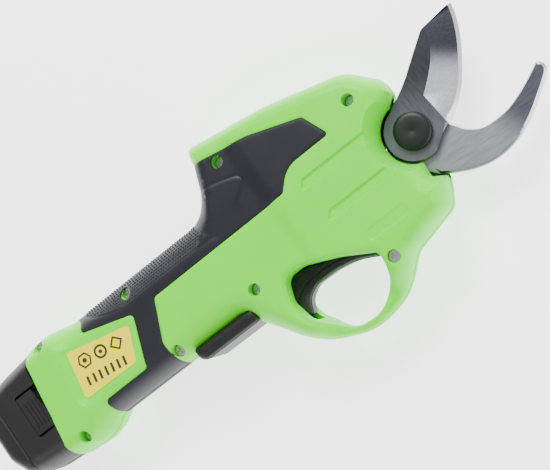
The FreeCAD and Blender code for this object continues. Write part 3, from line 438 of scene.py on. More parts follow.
def lower(a: np.ndarray, b: np.ndarray, blend: float = 0.6) -> np.ndarray:
    """The lower of two heights, with a small fillet between them."""
    mix = np.clip(0.5 + 0.5 * (b - a) / blend, 0, 1)
    return b * (1 - mix) + a * mix - blend * mix * (1 - mix)


def staggered(loop: np.ndarray, pitch: float, rise: float) -> np.ndarray:
    """Points in staggered rows over the box round a loop.

    Args:
        loop: The loop.
        pitch: Distance between points in a row.
        rise: Distance between rows.

    Returns:
        The points.
    """
    lo, hi = loop.min(0), loop.max(0)
    return np.array([(x + (k % 2) * pitch / 2, y) for k, y in enumerate(np.arange(lo[1], hi[1], rise))
                     for x in np.arange(lo[0], hi[0], pitch)])


def triangulate(lines: Sequence[tuple[np.ndarray, bool]], free: Sequence[np.ndarray] = ()
                ) -> tuple[np.ndarray, np.ndarray]:
    """Triangles whose edges follow lines.

    Args:
        lines: Points of each line, and whether it is closed.
        free: Arrays of further points.

    Returns:
        Points and triangles.
    """
    fixed, edges = [], []
    for line, closed in lines:
        first, count = len(fixed), len(line)
        fixed += list(line)
        edges += [(first + i, first + (i + 1) % count) for i in range(count if closed else count - 1)]
    spots = np.concatenate([np.array(fixed), *free])
    done = delaunay_2d_cdt([Vector(p) for p in spots], edges, [], 0, 1e-5)
    return np.array([tuple(v) for v in done[0]]), np.array([f for f in done[2] if len(f) == 3])


def cut_out(points: np.ndarray, faces: np.ndarray, loops: Sequence[np.ndarray]) -> np.ndarray:
    """Triangles inside the first loop and outside the others.

    Args:
        points: Plan points.
        faces: Plan triangles.
        loops: The outline and its holes.

    Returns:
        The triangles that are left.
    """
    middle = points[faces].mean(1)
    keep = within(middle, loops[0])
    for hole in loops[1:]:
        keep &= ~within(middle, hole)
    return faces[keep]


@dataclass
class Patch:
    """A flat mesh of a plan with outlines, ready to be lifted into relief.

    Attributes:
        loops: Closed outlines that edges of the mesh follow.
        lines: Open lines that edges of the mesh follow.
        offsets: Distances from the loops where more points are put.
        grid: Distance between points elsewhere.
    """

    loops: list[np.ndarray]
    lines: list[np.ndarray] = field(default_factory=list)
    offsets: tuple[float, ...] = OFFSETS
    grid: float = 1.6

    def build(self) -> tuple[np.ndarray, np.ndarray]:
        """Triangulate the plan.

        Returns:
            Points and triangles.
        """
        every = [(loop, True) for loop in self.loops] + [(line, False) for line in self.lines]
        beside = [self._beside(line, closed, gap, every) for line, closed in every for gap in self.offsets]
        inner = staggered(self.loops[0], self.grid, self.grid * math.sqrt(3) / 2)
        inner = inner[within(inner, self.loops[0])]
        clear = np.min([away(inner, line, closed) for line, closed in every], axis=0)
        return triangulate(every, [*beside, inner[clear > max(self.offsets) * 0.85]])

    @staticmethod
    def _beside(line: np.ndarray, closed: bool, gap: float, every: list) -> np.ndarray:
        """Points at a distance on both sides of a line, thinned where lines crowd.

        Args:
            line: The line's points.
            closed: Whether it is a loop.
            gap: The distance.
            every: All lines of the plan, each with whether it is closed.

        Returns:
            The points.
        """
        ahead = np.roll(line, -1, axis=0) - np.roll(line, 1, axis=0)
        if not closed:
            ahead[0], ahead[-1] = line[1] - line[0], line[-1] - line[-2]
        normal = np.stack([-ahead[:, 1], ahead[:, 0]], 1)
        normal /= np.maximum(np.linalg.norm(normal, axis=1, keepdims=True), 1e-9)
        stride = 1 if gap < 2 else 2
        both = np.concatenate([line[::stride] + normal[::stride] * gap, line[::stride] - normal[::stride] * gap])
        clear = np.min([away(both, other, shut) for other, shut in every], axis=0)
        return both[clear > gap * 0.93]


def circle(x: float, y: float, radius: float, count: int = 28) -> np.ndarray:
    """Points round a circle."""
    turns = np.linspace(0, 2 * math.pi, count, endpoint=False)
    return np.stack([x + radius * np.cos(turns), y + radius * np.sin(turns)], 1)


# ---------------------------------------------------------------------------
# making pieces
# ---------------------------------------------------------------------------
def to_frame(points: np.ndarray) -> np.ndarray:
    """Millimetres about the pivot to metres in the frame."""
    return points * MM + np.array(PIVOT)


def piece(name: str, points: np.ndarray, faces: Sequence[Sequence[int]], finishes: Sequence[Finish],
          choice: Sequence[int] | None = None, sharp: float = 35.0) -> bpy.types.Object:
    """Make an object from points and faces.

    Args:
        name: The piece's name.
        points: Points in millimetres about the pivot.
        faces: Corners of each face.
        finishes: The materials.
        choice: Which material each face has.
        sharp: Angle in degrees over which an edge is shaded sharp.

    Returns:
        The new object.
    """
    mesh = bpy.data.meshes.new(name)
    mesh.from_pydata([tuple(p) for p in to_frame(points)], [], [tuple(int(i) for i in f) for f in faces])
    for finish in finishes:
        mesh.materials.append(finish.material())
    if choice is not None:
        mesh.polygons.foreach_set("material_index", np.asarray(choice, np.int32))
    return _settle(mesh, name, sharp)


def _settle(mesh: bpy.types.Mesh, name: str, sharp: float) -> bpy.types.Object:
    """Merge doubles, shade and link a mesh.

    Args:
        mesh: The mesh.
        name: The object's name.
        sharp: Angle in degrees over which an edge is sharp.

    Returns:
        The new object.
    """
    work = bmesh.new()
    work.from_mesh(mesh)
    bmesh.ops.remove_doubles(work, verts=work.verts, dist=0.004 * MM)
    work.to_mesh(mesh)
    work.free()
    for polygon in mesh.polygons:
        polygon.use_smooth = True
    mesh.set_sharp_from_angle(angle=math.radians(sharp))
    mesh.validate()
    obj = bpy.data.objects.new(name, mesh)
    bpy.context.collection.objects.link(obj)
    return obj


def closed_out(obj: bpy.types.Object) -> bpy.types.Object:
    """Turn the faces of a closed piece outwards."""
    work = bmesh.new()
    work.from_mesh(obj.data)
    bmesh.ops.recalc_face_normals(work, faces=work.faces)
    work.to_mesh(obj.data)
    work.free()
    return obj


def ride(obj: bpy.types.Object, body: str, slot: str, *nodes: str) -> bpy.types.Object:
    """Fasten a piece to a body and let it stand for nodes.

    Args:
        obj: The piece.
        body: The body that carries it.
        slot: The record's material slot; not used.
        nodes: CAD nodes that it replaces.

    Returns:
        The same piece.
    """
    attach(obj, body)
    if nodes:
        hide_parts(*nodes)
    log.info("%s: %d faces on %s", obj.name, len(obj.data.polygons), body)
    return obj


def lathe(name: str, profile: Sequence[tuple[float, float]], finish: Finish, count: int = 64) -> bpy.types.Object:
    """Turn a profile about the pivot's axis.

    Args:
        name: The piece's name.
        profile: Radius and height pairs from one end to the other.
        finish: Its material.
        count: Steps round it.

    Returns:
        The piece.
    """
    turns = np.linspace(0, 2 * math.pi, count, endpoint=False)
    points = [(r * math.cos(a), r * math.sin(a), z) for r, z in profile for a in turns]
    faces = [(i * count + k, i * count + (k + 1) % count, (i + 1) * count + (k + 1) % count, (i + 1) * count + k)
             for i in range(len(profile) - 1) for k in range(count)]
    return closed_out(piece(name, np.array(points), faces, [finish]))


def plate(name: str, patch: Patch, top: Field, bottom: Field, finishes: Sequence[Finish],
          zone: Field | None = None, sharp: float = 30.0) -> bpy.types.Object:
    """A closed solid between two height fields over a plan with holes.

    Args:
        name: The piece's name.
        patch: Its plan; the first loop is the outside and the rest are holes.
        top: Upper height.
        bottom: Lower height.
        finishes: The materials.
        zone: Material of each triangle's middle on top, or None.
        sharp: Angle in degrees over which an edge is sharp.

    Returns:
        The piece.
    """
    points, faces = patch.build()
    return stack(name, points, cut_out(points, faces, patch.loops), top, bottom, finishes, zone, sharp)


def stack(name: str, points: np.ndarray, faces: np.ndarray, top: Field, bottom: Field,
          finishes: Sequence[Finish], zone: Field | None = None, sharp: float = 30.0) -> bpy.types.Object:
    """Close the space between two height fields over triangles with walls.

    Args:
        name: The piece's name.
        points: Plan points.
        faces: Plan triangles.
        top: Upper height.
        bottom: Lower height.
        finishes: The materials.
        zone: Material of each triangle's middle on top, or None.
        sharp: Angle in degrees over which an edge is sharp.

    Returns:
        The piece.
    """
    used, flat = np.unique(faces, return_inverse=True)
    faces, plan = flat.reshape(-1, 3), points[used]
    a, b, c = plan[faces[:, 0]], plan[faces[:, 1]], plan[faces[:, 2]]
    turned = (b[:, 0] - a[:, 0]) * (c[:, 1] - a[:, 1]) - (b[:, 1] - a[:, 1]) * (c[:, 0] - a[:, 0]) < 0
    faces[turned] = faces[turned][:, ::-1]
    count = len(plan)
    high = np.column_stack([plan, top(plan)])
    low = np.column_stack([plan, bottom(plan)])
    open_edges = {}
    for f in faces.tolist():
        for p, q in zip(f, (*f[1:], f[0])):
            if open_edges.pop((q, p), None) is None:
                open_edges[p, q] = True
    walls = [(q, p, p + count, q + count) for p, q in open_edges]
    shell = [tuple(f) for f in faces] + [tuple(f[::-1] + count) for f in faces] + walls
    choice = np.zeros(len(shell), int)
    if zone is not None:
        choice[:len(faces)] = zone(plan[faces].mean(1))
    return piece(name, np.concatenate([high, low]), shell, finishes, choice, sharp)


def scatter(name: str, seeds: bpy.types.Object, radius: float, finish: Finish) -> bpy.types.Object:
    """Set a small ball on every point of a seed mesh, with geometry nodes.

    Args:
        name: The new piece's name.
        seeds: Object whose points are used; it is removed.
        radius: Radius of a ball, in metres.
        finish: Its material.

    Returns:
        One piece with every ball.
    """
    tree = bpy.data.node_groups.new(name, "GeometryNodeTree")
    tree.interface.new_socket("Geometry", in_out="INPUT", socket_type="NodeSocketGeometry")
    size = tree.interface.new_socket("Radius", in_out="INPUT", socket_type="NodeSocketFloat")
    tree.interface.new_socket("Geometry", in_out="OUTPUT", socket_type="NodeSocketGeometry")
    add, link = tree.nodes.new, tree.links.new
    start, end = add("NodeGroupInput"), add("NodeGroupOutput")
    ball, put = add("GeometryNodeMeshIcoSphere"), add("GeometryNodeInstanceOnPoints")
    real, paint = add("GeometryNodeRealizeInstances"), add("GeometryNodeSetMaterial")
    smooth = add("GeometryNodeSetShadeSmooth")
    ball.inputs["Subdivisions"].default_value = 1
    paint.inputs["Material"].default_value = finish.material()
    link(start.outputs["Radius"], ball.inputs["Radius"])
    link(start.outputs["Geometry"], put.inputs["Points"])
    link(ball.outputs["Mesh"], put.inputs["Instance"])
    link(put.outputs["Instances"], real.inputs["Geometry"])
    link(real.outputs["Geometry"], smooth.inputs["Geometry"])
    link(smooth.outputs["Geometry"], paint.inputs["Geometry"])
    link(paint.outputs["Geometry"], end.inputs["Geometry"])
    modifier = seeds.modifiers.new(name, "NODES")
    modifier.node_group = tree
    modifier[size.identifier] = radius
    ready = seeds.evaluated_get(bpy.context.evaluated_depsgraph_get())
    mesh = bpy.data.meshes.new_from_object(ready)
    mesh.name = name
    seeds.modifiers.clear()
    bpy.data.objects.remove(seeds)
    obj = bpy.data.objects.new(name, mesh)
    bpy.context.collection.objects.link(obj)
    return obj


# ---------------------------------------------------------------------------
# housing halves with their soft inlays
# ---------------------------------------------------------------------------
MOUTH_RADIUS, BACK_MOUTH_RADIUS = 15.0, 14.35
MOUTH_ARC = tuple((MOUTH_RADIUS * math.cos(math.radians(a)), MOUTH_RADIUS * math.sin(math.radians(a)), 0.0)
                  for a in range(101, 252, 6))
BODY = ((-5.6, -21.5, 1), (0.6, -25.5, 1), (-1.5, -31.5, 9), (-6, -38.8, 6), (-31, -45.2, 10), (-46, -58.6, 30),
        (-68, -62.6, 30), (-92, -52, 40), (-108, -29, 25), (-112.5, -21.9, 4), (-192, -22, 10), (-199, -26.2, 8),
        (-206, -27.9, 8), (-219.3, -26.7, 0.5), (-210.6, 30.2, 0.5), (-200, 31.2, 14), (-186, 27.8, 14),
        (-105, 27.9, 16), (-97.0, 37.0, 18), (-92.0, 48.6, 3), (-89.7, 59.2, 4.5), (-46.5, 51.6, 150),
        (-8, 40.6, 18), (3.3, 27, 10), (3.4, 19.6, 1), *MOUTH_ARC)
BACK_BODY = ((-3.6, -14.5, 0), (2.2, -20.5, 2), (1.0, -26.5, 2), *BODY[2:-len(MOUTH_ARC)],
             *((BACK_MOUTH_RADIUS / MOUTH_RADIUS * x, BACK_MOUTH_RADIUS / MOUTH_RADIUS * y, 0.0)
               for x, y, _ in MOUTH_ARC))
FINGER_LOOP = ((-43, -36, 4), (-44.2, -46, 12), (-60, -57.6, 16), (-75, -56.5, 12), (-87.5, -41, 7),
               (-89.8, -30, 6), (-86, -19.5, 6), (-76, -19.5, 12), (-60, -26.3, 40))
THICK = ((12, 75, 0), (12, -29, 0), (1.4, -30, 6), (-5, -38.2, 8), (-33, -46.5, 9), (-44, -46, 6), (-43, -34.6, 5),
         (-60, -26, 30), (-81, -17.5, 8), (-90.5, -27, 7), (-86.5, -43, 4.8), (-95, -48, 6), (-104, -34, 14),
         (-113, -23, 4), (-118, -50, 0), (-270, -50, 0), (-270, 75, 0))
SOFT = ((-94.5, 49.4, 1), (-60, 42.4, 30), (-34.4, 33.2, 1.5), (-28.8, 19.4, 1.5), (-53.5, 19.3, 14),
        (-61.8, 10.9, 1.5), (-140.3, 10.4, 2), (-149.5, -9, 3), (-150.5, -40, 0), (-192, -40, 0),
        (-190, -13.8, 3), (-163.3, -13.6, 2), (-153.6, 10.4, 2), (-180.6, 18.4, 2), (-178.6, 24, 3),
        (-188.5, 30, 0), (-188.5, 45, 0), (-118, 45, 0))
DOTTED = ((-180, 33, 0), (-176, 24.5, 1), (-170, 20.6, 3), (-153.7, 15.6, 2), (-110, 15.6, 2), (-103.8, 21, 1),
          (-110, 33, 0))
UPPER_GROOVE = ((-16, 5.8, 1.6), (-16, 10.8, 1.6), (-51, 10.8, 1.6), (-55, 5.8, 1.2))
LOWER_GROOVE = ((-15, -12.7, 1.6), (-15, -7.8, 1.6), (-49, -7.8, 1.2), (-54.5, -12.7, 1.6))
RECESS = ((-20, -31, 2.5), (-20, -25, 2.5), (-43, -25, 2.5), (-43, -31, 2.5))
FILM = ((-191.8, 15.3, 1.5), (-158.1, 7.7, 1.5), (-165.3, -8.4, 1.5), (-196.3, -8.0, 1.5))
PANEL = ((-193.4, 16.9, 2), (-156.4, 8.5, 2), (-164.5, -9.7, 2), (-198.2, -9.3, 2))
CREASES = (((-98.5, 37.5), (-85, 34.6), (-76.6, 32), (-73.6, 29.6), (-75, 26.5), (-82, 21)),
           ((-108, 27.5), (-105, 24.5), (-103.3, 20.8)),
           ((-178.5, 27), (-176, 24.5), (-170, 20.6), (-162, 17.4), (-154.5, 15.8)),
           ((-153.7, 15.6), (-130, 15.6), (-101, 15.6)))
WELLS = ((-13.3, 26.2, 12.0), (-99.2, -15.4, 12.0), (-38.4, -41.6, 9.0), (-78.3, 42.0, 12.0), (-151.6, 20.8, 12.0),
         (-146.8, -15.8, 12.0), (-203.0, 26.2, 12.0), (-208.0, -21.4, 12.0))
WELL_RADIUS, POST_RADIUS = 3.0, 4.1
# where the rise to the head, the rise of the handle's rim and the rise to the collar start, and over what length
HEAD_RISE, RIM_RISE, COLLAR_RISE = (-73, 8), (-90, 14), (-188, 9)
GUARD_FALL = 14
# the blade mouth: how far from the pivot its edge reaches, and the box that its floor fills
MOUTH_REACH, MOUTH_LOW, MOUTH_HIGH, MOUTH_BACK = 15.3, -27.0, 19.0, -15.6
# the slot round the trigger: its width from the finger loop, its lower end and its front
SLOT_REACH, SLOT_LOW, SLOT_FRONT = 3.5, -43.0, -43.5
# the rear end of the outline, and the stretch of the collar that carries the label
REAR_FROM, REAR_LOW, REAR_HIGH, LABEL_FROM = -209.5, -26.2, 29.7, -150


@dataclass
class Housing:
    """Both halves of the housing and their soft inlays.

    Attributes:
        handle_top: Half thickness of the handle.
        head_top: Half thickness of the head.
        collar_top: Half thickness of the rear collar.
        guard_top: Half thickness of the finger guard.
        head_bend: Rounding of the head's rim.
        handle_bend: Rounding of the handle's rim.
        collar_bend: Rounding of the collar's rim.
        guard_bend: Rounding of the guard's rim.
        rear_bend: Rounding of the rear end.
        loop_bend: Rounding of the finger loop.
        skirt: Height of the upright wall under a rim.
        shelf: Floor of the blade mouth in the right half.
        back_shelf: Floor of the blade mouth in the left half.
        cone: Rise of the mouth's wall for each millimetre from the pivot.
        trigger_slot: Half thickness that the trigger needs.
        wall: Wall thickness.
        skin: Thickness of the soft inlays.
        parting: Gap from the middle plane to a half.
        cut: Depth of the open grooves.
        hollow: Depth of the shallow field on the head.
        crease: Depth of the creases in the inlays.
        lip: Depth of the seam round an inlay.
        dot_pitch: Distance between the dots of the textured grip.
    """

    handle_top: float = 21.5
    head_top: float = 23.8
    collar_top: float = 23.7
    guard_top: float = 8.8
    head_bend: float = 8.5
    handle_bend: float = 13.0
    collar_bend: float = 10.5
    guard_bend: float = 4.0
    rear_bend: float = 1.2
    loop_bend: float = 3.0
    skirt: float = 2.2
    shelf: float = 3.7
    back_shelf: float = 5.8
    cone: float = 4.4
    trigger_slot: float = 8.2
    wall: float = 2.2
    skin: float = 1.6
    parting: float = 0.12
    cut: float = 1.3
    hollow: float = 0.35
    crease: float = 0.35
    lip: float = 0.3
    dot_pitch: float = 1.5

    def __post_init__(self) -> None:
        """Work the outlines out once."""
        self.trace(BODY)

    def trace(self, outline: tuple[tuple[float, float, float], ...]) -> None:
        """Work the lines of the plan out for one outline of the body.

        Args:
            outline: Its corners.
        """
        self.body = Outline(outline, 1.1).points()
        self.loop = Outline(FINGER_LOOP, 1.1).points()
        self.thick = Outline(THICK, 3.0).points()
        self.soft = Outline(SOFT, 1.2).points()
        self.grooves = [Outline(UPPER_GROOVE, 1.0).points(), Outline(LOWER_GROOVE, 1.0).points()]
        self.recess = Outline(RECESS, 1.0).points()
        self.film = Outline(FILM, 1.0).points()
        self.creases = [smooth_line(line, 1.2) for line in CREASES]
        mouth = np.linalg.norm(self.body, axis=1) < MOUTH_REACH
        rear = (self.body[:, 0] < REAR_FROM) & (self.body[:, 1] > REAR_LOW) & (self.body[:, 1] < REAR_HIGH)
        first = int(np.argmax(rear))
        last = len(rear) - 1 - int(np.argmax(rear[::-1]))
        self.below, self.above = self.body[:first], self.body[last + 1:][~mouth[last + 1:]]
        self.rear = self.body[first:last + 1]

    def side_depth(self, p: np.ndarray) -> np.ndarray:
        """Distance in from the long edges of the body, without the blade mouth and the rear end."""
        return np.minimum(away(p, self.below, False), away(p, self.above, False))

    def ceiling(self, p: np.ndarray) -> tuple[np.ndarray, np.ndarray]:
        """Height of the flat side and the rounding of its rim.

        Args:
            p: Plan points.

        Returns:
            Heights and radii.
        """
        x = p[:, 0]
        head = ease((x - HEAD_RISE[0]) / HEAD_RISE[1])
        handle, collar = (ease((start - x) / length) for start, length in (RIM_RISE, COLLAR_RISE))
        fall = ease(np.maximum(-depth_in(p, self.thick), 0) / GUARD_FALL)
        top = self.handle_top + (self.head_top - self.handle_top) * head
        top = top + (self.collar_top - self.handle_top) * collar
        bend = self.head_bend + (self.handle_bend - self.head_bend) * handle \
            - (self.handle_bend - self.collar_bend) * collar
        return top + (self.guard_top - top) * fall, bend + (self.guard_bend - bend) * fall

    def surface(self, p: np.ndarray) -> np.ndarray:
        """Height of the outside, before the inlays are set in.

        Args:
            p: Plan points.

        Returns:
            Heights.
        """
        top, bend = self.ceiling(p)
        height = rim(self.side_depth(p), top, bend, np.maximum(top - self.skirt, bend))
        height = lower(height, rim(away(p, self.rear, False), top, self.rear_bend), 0.2)
        height = lower(height, rim(away(p, self.loop), top, self.loop_bend), 0.4)
        cone = self.shelf + (np.linalg.norm(p, axis=1) - MOUTH_RADIUS) * self.cone
        height = lower(height, np.maximum(cone, self.shelf), 0.3)
        for groove in self.grooves:
            height = height - self.cut * ease((depth_in(p, groove) + 0.2) / 0.7)
        panel = self.handle_top - 0.08 + 0.8 * np.maximum(-depth_in(p, self.film) - 1.3, 0)
        height = np.where(p[:, 0] < LABEL_FROM, lower(height, panel, 0.25), height)
        return height - self.hollow * ease(depth_in(p, self.recess) / 0.8)

    def outside(self, p: np.ndarray) -> np.ndarray:
        """Height of the hard housing, stepped down under the inlays.

        Args:
            p: Plan points.

        Returns:
            Heights.
        """
        depth = depth_in(p, self.soft)
        seam = self.lip * (1 - ease(-depth / 0.7))
        return self.surface(p) - np.where(depth > -0.7, seam, 0) - self.skin * ease(depth / 0.25)

    def inlay(self, p: np.ndarray) -> np.ndarray:
        """Height of the soft inlays.

        Args:
            p: Plan points.

        Returns:
            Heights.
        """
        height = self.surface(p) - 0.45 + 0.7 * ease(depth_in(p, self.soft) / 0.8)
        for line in self.creases:
            height = height - self.crease * (1 - ease(away(p, line, False) / 1.0))
        return height

    def base(self, p: np.ndarray, side: Side) -> np.ndarray:
        """Lowest height of the wall: the parting line, lifted round the blades and the trigger.

        Args:
            p: Plan points.
            side: Which half.

        Returns:
            Heights.
        """
        mouth = (p[:, 1] > MOUTH_LOW) & (p[:, 1] < MOUTH_HIGH) & (p[:, 0] > MOUTH_BACK)
        low = np.where(mouth, self.shelf if side is Side.RIGHT else self.back_shelf, self.parting)
        slot = (away(p, self.loop) < SLOT_REACH) & (p[:, 1] > SLOT_LOW) & (p[:, 0] < SLOT_FRONT)
        return np.where(slot, self.trigger_slot, low)

    def inside(self, p: np.ndarray, side: Side) -> np.ndarray:
        """Lower side of the hard housing: the wall, the hollow and the screw posts.

        Args:
            p: Plan points.
            side: Which half.

        Returns:
            Heights.
        """
        floor, roof = self.base(p, side), self.outside(p)
        top, bend = self.ceiling(p)
        depth = np.minimum(self.side_depth(p), away(p, self.loop))
        hollow = rim(depth - self.wall, top - self.wall - self.skin, np.maximum(bend - self.wall, 1.0),
                     np.maximum(top - 6.0, bend - self.wall))
        hollow = np.minimum(hollow, roof - self.wall * 0.6)
        wide = (depth > self.wall + 0.6) & (top > 15)
        low = np.where(wide, np.maximum(hollow, floor), floor)
        for x, y, seat in WELLS:
            near = np.hypot(p[:, 0] - x, p[:, 1] - y) < POST_RADIUS
            low = np.where(near, np.minimum(low, seat - 2.5), low)
        return np.minimum(low, roof - 0.05)

    def under_inlay(self, p: np.ndarray, side: Side) -> np.ndarray:
        """Lower side of the soft inlays, which wrap round the edge down to the parting line."""
        return np.where(self.side_depth(p) < 1.25, self.base(p, side), self.surface(p) - self.skin)

    def build(self) -> None:
        """Make both halves and both inlays."""
        for side in Side:
            self.trace(BODY if side is Side.RIGHT else BACK_BODY)
            self.half(side)
            self.dots(side)

    def half(self, side: Side) -> None:
        """Make one half with its inlay.

        Args:
            side: Which half.
        """
        screws = WELLS if side is Side.RIGHT else ()
        wells = [circle(x, y, WELL_RADIUS) for x, y, _ in screws]
        rings = [circle(x, y, POST_RADIUS) for x, y, _ in screws]
        panel = Outline(PANEL, 1.0).points()
        mouth = [np.array(turned_arc(radius, 97, 256, 60)) for radius in (18.2, 19.6)]
        plan = Patch([self.body, self.loop, self.soft, *self.grooves, self.recess, self.film, panel, *wells, *rings],
                     [*self.creases, *mouth])
        points, faces = plan.build()
        faces = cut_out(points, faces, [self.body, self.loop, *wells])
        middle = points[faces].mean(1)
        soft = within(middle, self.soft)
        wrapped = soft & (self.side_depth(middle) < 1.3)
        dotted = Outline(DOTTED, 2.0).points()
        hard = stack(f"housing_shell_{side.tag}", points, faces[~wrapped], self.outside,
                     lambda p: self.inside(p, side), [GREEN])
        skin = stack(f"soft_inlay_{side.tag}", points, faces[soft], self.inlay,
                     lambda p: self.under_inlay(p, side), [INLAY, GRIP], lambda p: within(p, dotted).astype(int))
        if side is Side.LEFT:
            mirror(hard)
            mirror(skin)
        ride(closed_out(hard), "body", "green_plastic", f"housing_{side.tag}")
        ride(closed_out(skin), "body", "dark_grip", f"grip_{side.tag}")

    def dots(self, side: Side) -> None:
        """Fine raised dots on the textured part of an inlay.

        Args:
            side: Which half.
        """
        zone = Outline(DOTTED, 2.0).points()
        spots = staggered(zone, self.dot_pitch, self.dot_pitch * 0.866)
        well = np.min([np.hypot(spots[:, 0] - x, spots[:, 1] - y) for x, y, _ in WELLS], axis=0)
        spots = spots[(depth_in(spots, zone) > 0.8) & (self.side_depth(spots) > 0.5) & within(spots, self.body)
                      & (depth_in(spots, self.soft) > 0.8) & (well > 3.8)]
        seeds = piece(f"dot_seeds_{side.tag}", np.column_stack([spots, self.inlay(spots) * side.value]), [], [])
        dots = scatter(f"grip_dots_{side.tag}", seeds, self.dot_pitch * 0.36 * MM, GRIP)
        ride(dots, "body", "dark_grip")


def mirror(obj: bpy.types.Object) -> None:
    """Reflect a piece in the middle plane of the tool.

    Args:
        obj: The piece.
    """
    for vertex in obj.data.vertices:
        vertex.co.z = 2 * PIVOT.z - vertex.co.z
    obj.data.flip_normals()


# ---------------------------------------------------------------------------
# blades and pivot
# ---------------------------------------------------------------------------
def turned_arc(radius: float, start: float, stop: float, count: int = 30) -> list[tuple[float, float]]:
    """Points along an arc about the pivot, between two angles in degrees."""
    return [(radius * math.cos(a), radius * math.sin(a))
            for a in np.linspace(math.radians(start), math.radians(stop), count)]


CUTTING_EDGE = ((48.3, 36.5), (46.2, 29.4), (41.8, 20.4), (36.3, 12.2), (30.8, 5.2), (25.8, 0.2), (20.6, -3.5),
                (14.9, -6.6))
SPINE = ((-4.1, 13.4), (0, 15.6), (3.6, 17), (10.2, 20.7), (20, 27.6), (30.3, 34.8))
GRIND_BACK = ((13.5, 10.2), (18.3, 14), (25, 20.3), (29.7, 27), (33.0, 35.05))
HOOK_INNER = ((14.8, -6.9), (16.6, -9.5), (19, -12.9), (24.5, -16.9), (31.5, -18.1), (40.3, -17.4), (50, -14.2),
              (58, -10.5), (61.6, -8.6))
HOOK_OUTER = ((64.2, -12.9), (62.2, -15.6), (55, -20.8), (44, -27.6), (33, -31.8), (22, -32.6), (12, -30.3),
              (3.5, -26.2), (-2, -22.7))


